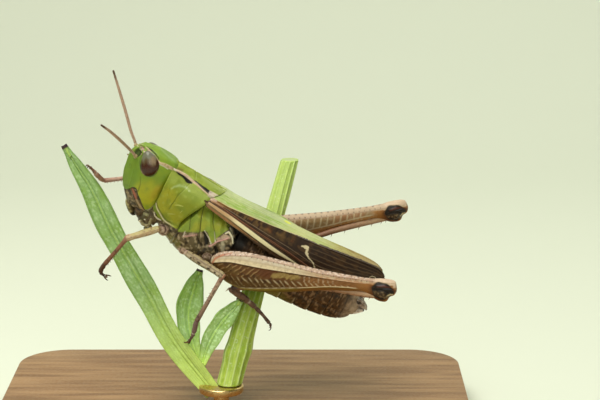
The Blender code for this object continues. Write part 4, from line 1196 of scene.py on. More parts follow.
def thigh_relief(thigh):
    def relief(places, t, angle):
        s, q, w = thigh.ways(places)
        outer, inner = ease(w - .06, .12), ease(-w - .06, .12)
        beat, _ = rib_beat(s, q, thigh.length)
        field = ease(along(BAND_LOW, s) - q, .06) * ease(q - along(PALE_LINE, s), .06)
        field *= ease(.8 - s, .05) * ease(s - .03, .04)
        rise = outer * field * (.03 * bell(beat - .5, .16) - .035)
        rise += outer * .035 * bell(q - along(BAND_LOW, s), .05) * ease(.84 - s, .05)
        rise += outer * .03 * bell(q - along(BAND_TOP, s), .05)
        rise += outer * .03 * bell(q - along(PALE_LINE, s), .05) * ease(.82 - s, .04)
        bars = s * thigh.length / BAR_STEP % 1
        rise += (inner * .02 * bell(bars - .5, .12)
            * ease(.5 - q, .1) * ease(q + .6, .2) * ease(.8 - s, .05))
        ridge = bell(w, .1) * (q > 0)
        turn = s * thigh.length / TOOTH_STEP * 2 * np.pi
        teeth = ease(np.cos(turn + 2 * np.sin(s * 23)) - .1, .6)
        rise += (ridge * (.03 + .012 * teeth * ease(.4 - s, .2))
            * ease(.86 - s, .1) * ease(s - .05, .1))
        rise += .05 * bell(w, .08) * (q < 0) * ease(.82 - s, .05)
        oval = knee_reach(s, q, thigh.length)
        flank = ease(np.abs(w) - .05, .1)
        rise += (flank * (.03 * ease(q + .1, .2)
            * bell(oval - 1.08, .1) - .03 * bell(oval - .95, .06) + .05 * ease(.8 - oval, .3)))
        flat = rows((s - KNEE_AT) * thigh.length, q)
        lobes = stroke(flat,
            ((-.7, -.12, .02), (0, -.02, .04), (.48, -.16, .04), (.62, -.4, .05)), .1)
        crest = stroke(flat, ((-.5, .2, .04), (.1, .3, .08), (.62, .2, .04)), .16)
        grain = .1 * (cloud(places, .16, 25) - .5) * ease(.9 - oval, .1) * ease(.05 - q, .1)
        return (rise + flank * (.05 * crest - .09 * lobes + grain)
            + .012 * (cloud(places, .2, 5) - .5))

    return relief


def outer_coat(thigh, places, s, q):
    beat, lift = rib_beat(s, q, thigh.length)
    fine = cloud(places, .14, 3)
    rib = bell(beat - .5, .13)
    low = ease(-lift, .12)
    plate = spot(rows(s, q), (.315, -.12), (.075, .42), .8)
    upper_rib = (rib * ease(lift + .04, .08)
        * ease(.3 - s, .05) * ease(along(BAND_LOW, s) - q - .06, .14))
    lower_rib = rib * ease(-.05 - lift, .1)
    strength = mix(.45, .75, ease(s - .2, .25)) * ease(.8 - s, .08)
    reach = ease(q - along(PALE_LINE, s) - .05, .1)
    speck = cloud(places, .1, 31)
    dashes = rib * ease(.3 - np.abs(lift + .16) - .1, .1) * ease(.84 - s, .1)
    flat = rows(s * thigh.length, q)
    line = [(a * thigh.length, b, .2) for a, b, _ in OLIVE_PATCH]
    patch = stroke(flat + .16 * (fine - .5)[:, None], line, .14)
    bar = ease(np.sin(s * thigh.length * 2 * np.pi / .36) - .1, .5)
    far = (ease(s - .47, .04) * ease(.7 - s, .06)
        * ease(lift + .02, .05) * ease(along(BAND_LOW, s) - q - .05, .08))
    strip = along(PALE_LINE, s) - q
    broken = .45 + .55 * ease(np.sin(s * thigh.length * 2 * np.pi / .62) * 1.4 + .6)
    line = bell(strip, .035) * ease(.82 - s, .05) * ease(s - .12, .1)
    rise = (q - along(BAND_LOW, s)) / (along(BAND_TOP, s) - along(BAND_LOW, s))
    band = above(s, q, BAND_LOW, .06)
    cream = layers(plain(places, (.58, .47, .29)),
        (.5, .42, .3), ease(rise - .45, .25) * ease(.55 - s, .2),
        (.33, .25, .16), .6 * bell(rise - .52, .1) * ease(.7 - s, .2),
        (.34, .208, .115), ease(s - .42, .22),
        (.34, .16, .06), .7 * ease(s - .5, .1) * bell(rise - .25, .16),
        (.42, .32, .2), .7 * ease(fine * 2.5 - 1))
    top = above(s, q, BAND_TOP, .08)
    return layers(plain(places, (.115, .045, .01)),
        (.115, .062, .016), .8 * ease(.32 - s, .12) * lumps(places, .5, 7, 2, .4),
        (.085, .042, .01), .85 * low * ease(.45 - s, .12),
        (.04, .014, .004), .7 * lumps(places, .22, 27, 3.5, 1.9),
        (.24, .1, .03), .85 * ease(s - .46, .1),
        (.045, .016, .005), .8 * ease(q - along(BAND_LOW, s) + .16, .1) * ease(.66 - s, .1),
        (.105, .03, .007), .9 * plate,
        (.38, .24, .1), .72 * upper_rib * ease(fine * 2.4 - .4),
        (.46, .34, .18), strength * lower_rib * reach * ease(fine * 2 + speck * 1.6 - 1.1),
        (.58, .46, .28), .65 * dashes * ease(s - .12, .1),
        (.36, .245, .075), .95 * patch * (.55 + .45 * fine),
        (.44, .32, .2), .55 * bar * far * ease(fine * 2.2 - .4),
        (.13, .082, .01), .9 * (1 - above(s, q, PALE_LINE)),
        (.2, .075, .014), .8 * ease(strip - .05, .05) * ease(s - .42, .1),
        (.34, .24, .04), .7 * bell(strip - .14, .06) * ease(.5 - s, .1),
        (.6, .48, .28), .95 * line * np.where(s > .5, 1, broken),
        (.26, .115, .03), .9 * ease(s - .77, .05) * ease(.36 - q, .1),
        cream, band,
        (.4, .26, .18), .8 * top,
        (.58, .46, .36), .8 * top * ease(speck * 4 - 1.9),
        (.16, .09, .06), .6 * top * lumps(places, .11, 43, 4, 2.7),
        (.24, .12, .07), .55 * bell(q - along(BAND_TOP, s), .035),
        (.4, .14, .07), .85 * stroke(rows(s * thigh.length, q),
            ((.05, -.35, .08), (.35, .25, .08), (.9, .62, .06), (1.6, .86, .02)), .08))


def inner_coat(thigh, places, s, q):
    fine = cloud(places, .14, 3)
    bars = (s * thigh.length - .3 * q) / BAR_STEP % 1
    lift = q - along(((0, -.9), (.5, -.45), (.59, -.36), (.7, -.18), (.82, -.06), (1, .1)), s)
    bar = bell(bars - .5, .11) * ease(.52 - q, .06) * ease(lift, .08) * ease(.8 - s, .05)
    top = ease(q - along(FEMUR_UP, s) + .3, .08)
    return layers(plain(places, (.42, .3, .18)),
        (.28, .17, .075), ease(.52 - q, .08) * ease(.84 - s, .06),
        (.36, .16, .08), .6 * ease(s - .55, .1) * ease(.5 - q, .08) * ease(.8 - s, .05),
        (.56, .44, .28), .85 * bar,
        (.58, .45, .28), .95 * bell(lift, .06) * ease(.84 - s, .05),
        (.34, .145, .04), .95 * ease(-.06 - lift, .06),
        (.42, .22, .08), .7 * bell(lift + .2, .06),
        (.4, .17, .035), .9 * ease(s - .8, .04) * ease(.3 - q, .1),
        (.5, .37, .25), .8 * top,
        (.3, .18, .11), .6 * bell(q - along(FEMUR_UP, s) + .24, .03),
        (.5, .4, .27), .3 * ease(fine * 2.5 - 1.2))


def thigh_coat(thigh):
    def coat(places, t, angle):
        s, q, w = thigh.ways(places)
        outer = ease(w + .05, .1)[:, None]
        colour = (outer_coat(thigh, places, s, q)
            * outer + inner_coat(thigh, places, s, q) * (1 - outer))
        length = thigh.length
        beads = ease(np.cos((s * length + .25) / .5 * 2 * np.pi) - .45, .3)
        cap = ease(s - .865, .03) * ease(q - .36, .1)
        tail = ease(s - .975, .012) * ease(q + .45, .2)
        dark = ease((1 - knee_reach(s, q, length)) / .14 + .5) * ease(np.abs(w) - .03, .05)
        flat = rows((s - KNEE_AT) * length, q)
        speck = cloud(places, .12, 8)
        below = ease(s - .872, .02) * ease(-.3 - q, .1) * ease(.985 - s, .01)
        flank = ease(np.abs(w) - .03, .05)
        shine = stroke(flat, ((-.42, .18, .05), (.05, .3, .08), (.5, .24, .03)), .1)
        glint = stroke(flat, ((.02, .1, .015), (.34, .14, .03), (.62, .1, .01)), .06)
        lower = stroke(flat, ((-.55, -.34, .14), (0, -.4, .26), (.3, -.6, .14)), .2)
        tip = stroke(flat, ((.78, .1, .08), (.95, -.08, .1)), .14)
        notch = stroke(flat, ((.7, -.34, .07), (.48, -.4, .07), (.32, -.5, .02)), .07)
        return layers(colour,
            (.035, .02, .014), .8 * beads * bell(w, .09) * (q > .2) * ease(.88 - s, .05),
            (.05, .03, .02), .8 * ease(-np.cos(s * length / TOOTH_STEP * 2 * np.pi) - .8, .15)
                * (q > 0) * bell(q - along(FEMUR_UP, s) + .17, .045) * ease(.9 - s, .05),
            (.58, .43, .3), .85 * cap,
            (.6, .44, .31), .8 * tail,
            (.06, .022, .01), .9 * below,
            (.25, .095, .02), .85 * (ease(flat[:, 0] + 2.2, 1.2) * ease(.3 - q, .12) * flank),
            (.085, .026, .008), .85 * (ease(flat[:, 0] + 1.25, .5)
                * ease(.28 - q, .12) * ease(.2 - flat[:, 0], .2)) * flank,
            (.013, .007, .004), dark,
            (.075, .02, .012), .9 * shine * dark,
            (.065, .07, .095), .8 * glint * dark,
            (.06, .034, .016), .8 * lower * ease(np.abs(w) - .05, .05),
            (.2, .13, .065), .85 * lower * ease(speck * 4 - 1.9) * ease(np.abs(w) - .05, .05),
            (.1, .03, .014), .8 * tip,
            (.55, .42, .24), .9 * notch)

    return coat


def make_hind_legs():
    for tag, side in SIDES:
        thigh, ankle = Thigh(side), ANKLES[side]
        femur = ball("hind_thigh_" + tag, 190, 380,
            thigh.shape, thigh_coat(thigh), THIGH, thigh_relief(thigh), crowd=.35)
        keep(femur, "thigh_brown", "hind_femur_" + tag)
        down = unit(thigh.ahead * thigh.ahead[2] - UP)
        top = thigh.knee - thigh.ahead * 2.2 + down * (.73 if side == LEFT else .68)
        tuck = np.array((0, -.62 * side, 0))
        stops = [(*top + thigh.ahead * .75 - down * .14, .27), (*top, .25),
            (*mix(top, ankle, .35) - down * (.22 if side == LEFT else .14) + tuck * .55, .22),
            (*mix(top, ankle, .7) + tuck, .2), (*ankle, .25)]

        def coat(p, t, angle, side=side):
            dots = ease(np.cos(t * 2 * np.pi * 14) - .6, .3) * ease(.2 - np.cos(angle))
            return layers(plain(p, (.42, .25, .14)),
                # pale mottling on the upper side: partly the shin's own pale flecks, partly a
                # painted highlight
                (.52, .38, .22), .6 * ease(np.cos(angle) - .2, .4) * lumps(p, .2, 5, 3, .8),
                (.16, .06, .03), .85 * ease(t - .2, .4),
                (.6, .46, .3), .85 * bell(t - .1, .05),
                (.06, .03, .02), .9 * ease(.035 - t, .03),
                (.3, .13, .06), .7 * ease(-np.cos(angle) * 1.5),
                (.04, .02, .015), .6 * dots,
                (.05, .025, .018), ease(t - .93, .05))

        shin = limb("hind_shin_" + tag, stops, 36, 260, coat, SHIN, crowd=.1)
        thorns = []
        path = np.array([stop[:3] for stop in stops])
        share = np.linspace(.7, 3.7, 12)
        run = unit(path[-1] - path[0])
        for middle in course(path, share):
            for row in (-1, 1):
                out = unit(down * .8 + thigh.out * .75 * row)
                root = middle + out * .15 + run * .1 * (row > 0)
                thorns.append((root, root + out * .27 + run * .16, .05))
        for row in (-1, 1):
            for spread, size in ((.5, .34), (1.1, .42)):
                out = unit(run * .9 + thigh.out * spread * row + down * .5)
                root = ankle + out * .12
                thorns.append((root, root + out * size, .045))
        needles = spikes("needles", thorns, tipped((.34, .2, .12), HORN_TIP), SHIN)
        keep(joined("hind_tibia_" + tag, [shin, needles]), "shin_brown", "hind_tibia_" + tag)
        hip, ahead, out = thigh.hip, thigh.ahead, np.array((0, side, 0))
        stops = [(*hip - ahead * .3 - out * .8 + down * .25, .44),
            (*hip - ahead * .35 - out * .45 + down * .08, .42), (*hip - ahead * .38 - out * .1, .3)]
        keep(limb("hind_coxa_" + tag, stops, 60, 60, joint_coat((.15, .1, .055)),
            BELLY, relief=joint_relief), "thigh_brown", "hind_coxa_" + tag)


def joint_coat(base):
    def coat(p, t, angle):
        return layers(plain(p, base),
            (.12, .07, .04), .85 * lumps(p, .2, 5, 3.4, 1.6),
            (.55, .42, .31), .6 * lumps(p, .14, 15, 4, 2.1),
            (.08, .035, .025), .85 * bell(t - .8, .045))

    return coat


def joint_relief(p, t, angle):
    return -.05 * bell(t - .8, .05) + .03 * (cloud(p, .3, 3) - .5)


# ---------------------------------------------------------------- walking legs and feet
def stem_at(z):
    """The middle and the radius of the stem at some heights, as (x, y, z, radius) rows."""
    stops = np.array([(*p, r) for p, r in STEM])
    return rows(*[along(rows(stops[:, 2], column), z) for column in stops.T])


def stem_place(height, angle, clear):
    """A place by the stem's surface in the insect's frame: angle 0 is to the right, 90 away."""
    here, later = stem_at(np.array((height, height + .2)))
    ahead = unit(later[:3] - here[:3])
    right = unit(np.array((1, 0, 0)) - ahead * ahead[0])
    away = np.cross(ahead, right)
    a = math.radians(angle)
    place = here[:3] + (right * math.cos(a) + away * math.sin(a)) * (here[3] + clear)
    return (place - BODY_AT) @ BODY_TURN


def make_foot(row, side, places, radii, sink, coat, size=1):
    """Three foot joints with pads below, and a pair of claws with the pad between them."""
    tag = f"{row}_{side}"
    places = np.array(places)
    places[0] -= unit(places[1] - places[0]) * .18
    sink = unit(np.array(sink, float))

    def relief(p, t, angle):
        pinch = bell(t - .44, .035) + bell(t - .6, .03)
        pads = bell(t - .16, .05) + bell(t - .29, .05) + bell(t - .4, .05)
        waist = .05 * bell(t - .78, .14)
        return -.055 * pinch - waist + .05 * pads * ease(-np.cos(angle))

    foot = limb("foot", [(*p, r) for p, r in zip(places, radii)],
        28, 120, coat, SHIN, up=-sink, relief=relief, crowd=.2)
    keep(foot, "shin_brown", f"{row}_tarsus_{side}")
    foot.name = foot.data.name = "foot_" + tag
    end, ahead = places[-1], unit(places[-1] - places[-2])
    across = unit(np.cross(ahead, sink))
    hooks = []
    for way in (-1, 1):
        stops = [(*end + across * .05 * way, .07),
            (*end + ahead * .16 * size + across * .15 * way + sink * .02, .055),
            (*end + ahead * .28 * size + across * .2 * way + sink * .14 * size, .038),
            (*end + ahead * .27 * size + across * .2 * way + sink * .27 * size, .016)]
        hooks.append(limb("hook", stops, 12, 30,
            tipped((.11, .045, .02), HORN_TIP, .4, .3), SHIN))
    keep(joined("claws_" + tag, hooks), "shin_brown")
    pad = [(*end + ahead * .05 + sink * .03, .08), (*end + ahead * .2 * size + sink * .09, .095)]
    keep(limb("pad_" + tag, pad, 20, 16, even((.2, .12, .08)), SHIN), "shin_brown")


def make_walking_leg(row, tag, hip, knee, ankle, thick, thin, thigh_paint, shin_paint):
    hip, knee, ankle = (np.array(p, float) for p in (hip, knee, ankle))
    thigh, shin = unit(knee - hip), unit(ankle - knee)
    stops = [(*hip - thigh * .1, .2), (*mix(hip, knee, .15), thick * .95),
        (*mix(hip, knee, .4), thick), (*mix(hip, knee, .78), thick * .86),
        (*mix(hip, knee, .94), thick * .92), (*knee + thigh * .16, .19)]

    def relief(p, t, angle):
        lines = bell(np.cos(angle) - .62, .1) + bell(np.cos(angle) + .62, .1)
        return .018 * lines - .03 * bell(t - .93, .02) + .012 * (cloud(p, .2, 4) - .5)

    keep(limb(f"{row}_thigh_{tag}", stops, 56, 120, thigh_paint, THIGH, relief=relief, crowd=.3),
        "thigh_brown", f"{row}_femur_{tag}")
    start = knee + shin * .1 - thigh * .02
    stops = [(*start, thin * 1.25), (*start + shin * .35, thin), (*mix(start, ankle, .55),
        thin * .92), (*mix(start, ankle, .9), thin * 1.05), (*ankle, thin * 1.1)]
    rod = limb("shin", stops, 32, 120, shin_paint, SHIN, crowd=.2)
    thorns = []
    below = unit(np.cross(np.cross(shin, thigh), shin)) * -1
    across = unit(np.cross(shin, below))
    for k in range(7):
        for way in (-1, 1):
            out = unit(below * .8 + across * .7 * way)
            root = mix(start, ankle, .3 + .1 * k + .03 * way) + out * thin * .7
            thorns.append((root, root + out * .17 + shin * .12, .03))
    needles = spikes("needles", thorns, tipped((.22, .12, .07), (.03, .018, .012)), SHIN)
    keep(joined(f"{row}_shin_{tag}", [rod, needles]), "shin_brown", f"{row}_tibia_{tag}")


def front_thigh_paint(p, t, angle):
    return layers(plain(p, (.46, .31, .17)),
        (.55, .43, .27), .7 * lumps(p, .25, 3, 3, 1.2),
        (.4, .4, .12), .5 * ease(np.cos(angle) - .55, .3) * ease(.8 - t, .2),
        (.3, .15, .09), .75 * ease(-.35 - np.cos(angle), .4),
        (.22, .11, .07), .6 * lumps(p, .12, 9, 5, 3.4),
        (.3, .13, .09), .8 * ease(t - .91, .05),
        (.14, .06, .04), .8 * bell(t - .06, .02))


def mid_thigh_paint(p, t, angle):
    h = np.cos(angle)
    colour = layers(plain(p, (.28, .21, .12)),
        (.36, .29, .15), ease(h - .72, .1),
        (.1, .06, .03), .8 * lumps(p, .14, 19, 4, 2.1),
        (.13, .09, .06), .75 * bell(h - .58, .09)
            * ease(t - .12, .1) * (.55 + .45 * cloud(p, .2, 2)),
        (.5, .41, .28), .7 * bell(h - .05, .3) * lumps(p, .18, 29, 4, 1.3))
    for place, size in ((.24, .022), (.4, .03), (.53, .02), (.64, .028), (.8, .018)):
        dots = spot(rows(t, h), (place, -.05), (size, .26), .5)
        colour = tint(colour, (.025, .018, .014), .95 * dots)
    return layers(colour,
        (.11, .12, .035), .85 * bell(h + .6, .12),
        (.34, .25, .15), .7 * ease(-.78 - h, .1),
        (.44, .2, .13), .85 * ease(t - .93, .03),
        (.5, .34, .26), .7 * ease(.1 - t, .04))


def shin_paint(start, middle, end, pale_at=0):
    """A shin's colour from its knee to its foot, with small dark flecks and one paler place."""

    def coat(p, t, angle):
        colour = layers(plain(p, start),
            middle, ease(t, .5),
            end, ease(t - .55, .4))
        if pale_at:
            colour = tint(colour, (.5, .38, .27),
                .75 * bell(t - pale_at, .11) * lumps(p, .13, 6, 3, .8))
        return tint(colour, (.05, .025, .02), .75 * lumps(p, .13, 12, 5, 3.3))

    return coat


def make_walking_legs():
    far_shin = shin_paint((.42, .28, .21), (.44, .27, .2), (.28, .13, .09))
    make_walking_leg("front", "left", (-3.5, -1.62, -1.5), (-5.36, -2.6, -3.02),
        (-5.77, -2, -6.06), .27, .17, front_thigh_paint,
        shin_paint((.26, .12, .075), (.22, .09, .05), (.12, .045, .025)))
    make_walking_leg("front", "right", (-3.5, 1.62, -1.5), (-6.4, 2.6, -.3),
        (-8.72, 1.5, -1.55), .27, .17, front_thigh_paint, far_shin)
    make_walking_leg("mid", "left", (-.9, -1.85, -2.15), (2.24, -3.4, -1.72),
        (2.29, -3.5, -6.07), .3, .18, mid_thigh_paint,
        shin_paint((.28, .13, .09), (.26, .16, .11), (.13, .07, .055), .36))
    ankle = stem_place(10.6, 160, .36) + np.array((-.22, .1, .12))
    make_walking_leg("mid", "right", (-.9, 1.85, -2.15), (1.7, 3.9, -1.3), ankle, .3, .18,
        mid_thigh_paint, far_shin)
    for row, first, second, sizes in (
            ("front", (-3.15, 1, -1.7), (-3.35, 1.42, -1.62), (.5, .36)),
            ("mid", (-1.05, 1.15, -2.22), (-.98, 1.62, -2.18), (.52, .38))):
        for tag, side in SIDES:
            (x, y, z), (x2, y2, z2) = first, second
            stops = [(x, (y - .2) * side, z, sizes[0] * .9), (x, y * side, z, sizes[0]),
                (x2, y2 * side, z2, sizes[1])]
            keep(limb(f"{row}_coxa_{tag}", stops, 60, 60, joint_coat((.4, .27, .19)), BELLY,
                relief=joint_relief), "thigh_brown", f"{row}_coxa_{tag}")

    def dusky(start, end, ring=.44):
        def coat(p, t, angle):
            return layers(plain(p, start),
                end, ease(t - .4, .5),
                (.5, .42, .34), .85 * bell(t - ring, .022) * ease(np.cos(angle) + .7),
                (.03, .018, .015), .7 * lumps(p, .16, 3, 4, 2.4))

        return coat

    make_foot("front", "left", ((-5.79, -1.95, -6.12), (-5.78, -1.7, -6.88),
        (-5.5, -1.55, -7.16), (-5.31, -1.5, -7.2)), (.17, .16, .14, .13), (.6, .5, -.2),
        dusky((.085, .035, .02), (.05, .022, .014), 2))
    make_foot("front", "right", ((-8.8, 1.46, -1.53), (-9.4, 1.15, -1.21), (-9.85, 1.02, -.98),
        (-10.2, .95, -.83)), (.17, .17, .15, .14), (.3, -.2, -.9),
        dusky((.3, .16, .1), (.14, .06, .035)))
    mid_coat = dusky((.17, .1, .09), (.1, .045, .035))
    make_foot("mid", "left", ((2.3, -3.5, -6.15), (2.52, -3.5, -6.85), (2.6, -3.5, -7.45),
        (2.59, -3.5, -7.85)), (.19, .18, .15, .14), (-.5, .8, 0), mid_coat)

    def round_stem(*stops):
        return [stem_place(height, angle, clear) for height, angle, clear in stops]

    def inwards(height, angle):
        return stem_place(height, angle, -.3) - stem_place(height, angle, .3)

    make_foot("mid", "right", round_stem((10.55, 158, .24), (10.1, 130, .24), (9.8, 112, .24),
        (9.5, 95, .24)), (.18, .17, .15, .14), inwards(9.5, 95), mid_coat)
    make_foot("hind", "left", ((3.46, -2.44, -2.86), (4.45, -2.1, -3.1), (5.48, -1.7, -3.5),
        (6.61, -1.4, -3.98), (7.55, -1.3, -4.45)), (.24, .25, .22, .18, .15), (-.4, .1, -1),
        dusky((.15, .08, .05), (.17, .1, .07), .42), 1.3)
    make_foot("hind", "right", [ANKLES[RIGHT] + np.array((-.02, .12, -.3))]
        + round_stem((12.2, 150, .26), (11.9, 115, .26), (12.2, 80, .26), (12.6, 50, .26)),
        (.24, .25, .22, .18, .15), inwards(12.6, 50),
        dusky((.1, .055, .042), (.12, .08, .07), .42), 1.2)


# ---------------------------------------------------------------- perch
STEM = (((-.55, -2.75, 4.2), .95), ((.25, -1.1, 6.96), .95),
    ((1.05, .5, 9.9), .9), ((2.02, 3.25, 13.2), .8), ((3.2, 5.1, 17), .76), ((4.2, 6.9, 20.4), .68))
LONG_LEAF = (((-1.6, -2.95, 4.2), .62), ((-4.65, -1.85, 7.9), .88),
    ((-6.55, -.9, 11.2), .95), ((-8.22, -.25, 14), .93), ((-9.59, .15, 16.45), .84),
    ((-10.88, .62, 19.15), .72), ((-12.1, 1, 21.1), .45), ((-13, 1.25, 22.6), .12))
SHORT_LEAF = (((-2.75, -1.95, 6.55), .3), ((-3.3, -1.3, 7.9), .66),
    ((-3.58, -.1, 9.5), .92), ((-3.22, .55, 11.3), .8), ((-2.7, .95, 12.9), .14))
BRACT = (((-2.5, -2.1, 6.1), .22), ((-2.3, -2.05, 6.75), .36),
    ((-2, -1.9, 7.6), .56), ((-1.46, -1.6, 8.6), .7), ((-.86, -1.35, 9.42), .68),
    ((-.26, -1.1, 10.06), .54), ((.18, -.98, 10.55), .34), ((.48, -.9, 10.92), .08))
PERCH_FOOT, PERCH_TOP = 4.82, 20.4
STEM_RIBS = 11
LEAF_FOLD, LEAF_WALL = .25, .14
LEAF_VEINS = 5


def leaf_veins(across, v, width):
    """1 on the slanting side veins of a leaf."""
    return bell((across * LEAF_VEINS - v * .8) % 1 - .5, width)


def stem_beat(t, angle):
    """Where a place lies between two ribs of the stem, 0 to 1."""
    return (angle + .12 * np.sin(t * 9)) / (2 * np.pi) * STEM_RIBS % 1


def make_stem():
    def shape(t, angle):
        z = mix(PERCH_FOOT, PERCH_TOP, np.clip((t - .02) / .96, 0, 1))
        x, y, _, radius = stem_at(z).T
        radius = radius * ease(np.minimum(t, 1 - t), .02)
        return rows(x + radius * np.cos(angle), y + radius * np.sin(angle) * 1.06, z)

    def relief(p, t, angle):
        ribs = bell(stem_beat(t, angle) - .5, .17)
        node = bell(p[:, 2] - 7, .55)
        return (.075 * ribs - .03 + .1 * node) * ease(np.minimum(t - .02, .98 - t), .01)

    def coat(p, t, angle):
        beat = stem_beat(t, angle)
        long = cloud(p * np.array((1, 1, .12)), .22, 3)
        return layers(plain(p, (.31, .43, .045)),
            (.43, .55, .085), .8 * ease(long * 2 - .5),
            (.5, .62, .22), .85 * bell(beat - .5, .13),
            (.2, .34, .03), .5 * bell(beat - .98, .12),
            (.46, .6, .18), .6 * ease(13.5 - p[:, 2], -4),
            (.62, .7, .42), .6 * lumps(p, .1, 9, 6, 4.6),
            # painted shadow of the insect on the stem: darker green from about 11 to 15 mm up
            (.1, .19, .02), .75 * ease(p[:, 2] - 10.9, .9) * ease(15 - p[:, 2], 2),
            (.42, .5, .22), ease(.016 - t, .006) + ease(t - .984, .006))

    stem = ball("cut_stem", 200, 300, shape, coat, STEM_SKIN, relief, posed=False)
    keep(stem, "stem_green", "perch_stem")


def make_blade(name, stops, coat, node):
    """A leaf along its stops, folded at its middle, with a raised midrib and soft veins."""
    path = np.array([(*p, r) for p, r in stops])

    def middle(v):
        return course(path, np.clip(v, 0, 1) * (len(path) - 1))

    def shape(u, v):
        here = middle(v)
        ahead = unit(middle(v + .01)[:, :3] - middle(v - .01)[:, :3])
        wide = unit(np.cross(ahead, np.array((0, 1, 0))))
        front = np.cross(wide, ahead)
        across = 2 * u - 1
        half = here[:, 3] * (1 + .05 * np.sin(v * 23) * np.abs(across))
        bow = LEAF_FOLD * (1 - np.abs(across)) + .06 * np.sin(across * np.pi)
        return here[:, :3] + wide * (half * across)[:, None] + front * (half * bow)[:, None]

    def relief(p, u, v):
        across = np.abs(2 * u - 1)
        veins = leaf_veins(across, v, .14) * (across > .12)
        return (.06 * bell(across, .07) - .05 * bell(across - .18, .08)
            + .018 * veins + .03 * (cloud(p, .5, 4) - .5))

    leaf = sheet(name, 60, 220, shape, (-5, 30, 10), LEAF_WALL, coat, LEAF_SKIN, relief,
        posed=False)
    keep(leaf, "stem_green", node)


def make_perch():
    make_stem()

    def leaf_coat(blue, tip_at, seed, base_light=.45, paleness_and_painted_light=1):
        def coat(p, u, v):
            across = np.abs(2 * u - 1)
            veins = leaf_veins(across, v, .12) * (across > .15)
            colour = layers(plain(p, (.215, .345, .075)),
                (.26, .4, .145), blue * lumps(p, .9, seed, 2, .4),
                (.42, .56, .3), .6 * blue * lumps(p, .14, seed + 4, 5, 2.7),
                (.11, .22, .02), .6 * ease(across - .82, .12),
                (.1, .2, .02), .5 * bell(across - .18, .06),
                (.34, .48, .1), .85 * bell(across, .06),
                (.28, .42, .1), .35 * veins,
                (.56, .72, .16), .85 * ease(base_light - v, base_light))
            # the gain brightens the whole leaf: partly its paler colour, partly painted light
            # against the insect's shadow on it
            return tint(colour * paleness_and_painted_light, (.05, .022, .03), ease(v - tip_at, .012))

        return coat

    make_blade("long_leaf", LONG_LEAF, leaf_coat(1, .972, 3, .36), "perch_long_leaf")
    make_blade("short_leaf", SHORT_LEAF, leaf_coat(.7, .972, 8, .3, 1.33), "perch_short_leaf")
    make_blade("bract", BRACT, leaf_coat(1.3, .985, 12, .3, 1.6), "perch_bract")


# ---------------------------------------------------------------- stand
def edged(obj, width, parts=3):
    bevel = obj.modifiers.new("Edge", "BEVEL")
    bevel.width = width * MM
    bevel.segments = parts
    bevel.limit_method = "ANGLE"
    obj.data.shade_smooth()
    return obj


def wood_finish():
    tree = WOOD.node_tree
    shader = tree.nodes["Principled BSDF"]
    place = tree.nodes.new("ShaderNodeTexCoord").outputs["Object"]
    stretch = tree.nodes.new("ShaderNodeMapping")
    stretch.inputs["Scale"].default_value = (.1, 1, 1)
    tree.links.new(place, stretch.inputs["Vector"])
    lines = link_noise(tree, stretch.outputs["Vector"], .7, 6)
    ramp = tree.nodes.new("ShaderNodeValToRGB")
    ramp.color_ramp.elements[0].position, ramp.color_ramp.elements[1].position = .38, .66
    ramp.color_ramp.elements[0].color = (.22, .115, .052, 1)
    ramp.color_ramp.elements[1].color = (.36, .21, .1, 1)
    tree.links.new(lines, ramp.inputs["Fac"])
    for link in list(shader.inputs["Base Color"].links):
        tree.links.remove(link)
    tree.links.new(ramp.outputs["Color"], shader.inputs["Base Color"])


def brass_finish():
    mat = bpy.data.materials.new("satin_brass")
    mat.use_nodes = True
    tree = mat.node_tree
    shader = tree.nodes["Principled BSDF"]
    shader.inputs["Metallic"].default_value = 1
    place = tree.nodes.new("ShaderNodeTexCoord").outputs["Object"]
    haze = link_noise(tree, place, .5)
    ramp = tree.nodes.new("ShaderNodeValToRGB")
    ramp.color_ramp.elements[0].color = (.62, .42, .16, 1)
    ramp.color_ramp.elements[1].color = (.74, .54, .25, 1)
    tree.links.new(haze, ramp.inputs["Fac"])
    tree.links.new(ramp.outputs["Color"], shader.inputs["Base Color"])
    tree.links.new(link_range(tree, haze, .3, .7, .22, .38), shader.inputs["Roughness"])
    return mat


def make_stand():
    wood_finish()
    brass = brass_finish()
    outline = bpy.data.curves.new("base_outline", "CURVE")
    outline.dimensions = "2D"
    outline.fill_mode = "BOTH"
    outline.extrude = 1.5 * MM
    spline = outline.splines.new("POLY")
    places = []
    for quarter, (sx, sy) in enumerate(((1, 1), (-1, 1), (-1, -1), (1, -1))):
        for step in range(17):
            a = math.radians(90 * quarter + 5.625 * step)
            places.append((sx * 14 + 4 * math.cos(a), sy * 9 + 4 * math.sin(a)))
    spline.points.add(len(places) - 1)
    spline.use_cyclic_u = True
    for point, (x, y) in zip(spline.points, places):
        point.co = (x * MM, y * MM, 0, 1)
    drawn = new_object("base_outline", outline)
    bpy.context.view_layer.update()
    graph = bpy.context.evaluated_depsgraph_get()
    mesh = bpy.data.meshes.new_from_object(drawn.evaluated_get(graph))
    bpy.data.objects.remove(drawn)
    bm = bmesh.new()
    bm.from_mesh(mesh)
    bmesh.ops.remove_doubles(bm, verts=bm.verts, dist=1e-6)
    bmesh.ops.translate(bm, verts=bm.verts, vec=(0, 0, 1.5 * MM))
    bm.to_mesh(mesh)
    bm.free()
    mesh.materials.clear()
    mesh.materials.append(WOOD)
    keep(edged(new_object("plinth", mesh), .45, 4), "base_wood", "stand_base")
    for name, radius, low, high, bevel, node in (("cup", 1.7, 4.2, 4.75, .12, "stand_cup"),
            ("rod", .6, 3.03, 4.17, .08, "stand_rod")):
        bm = bmesh.new()
        bmesh.ops.create_cone(bm, cap_ends=True,
            segments=96, radius1=radius * MM, radius2=radius * MM, depth=(high - low) * MM)
        bmesh.ops.translate(bm, verts=bm.verts, vec=(-1 * MM, -2.5 * MM, (low + high) / 2 * MM))
        mesh = new_mesh("brass_" + name, bm)
        mesh.materials.append(brass)
        keep(edged(new_object("brass_" + name, mesh), bevel), "stand_brass", node)


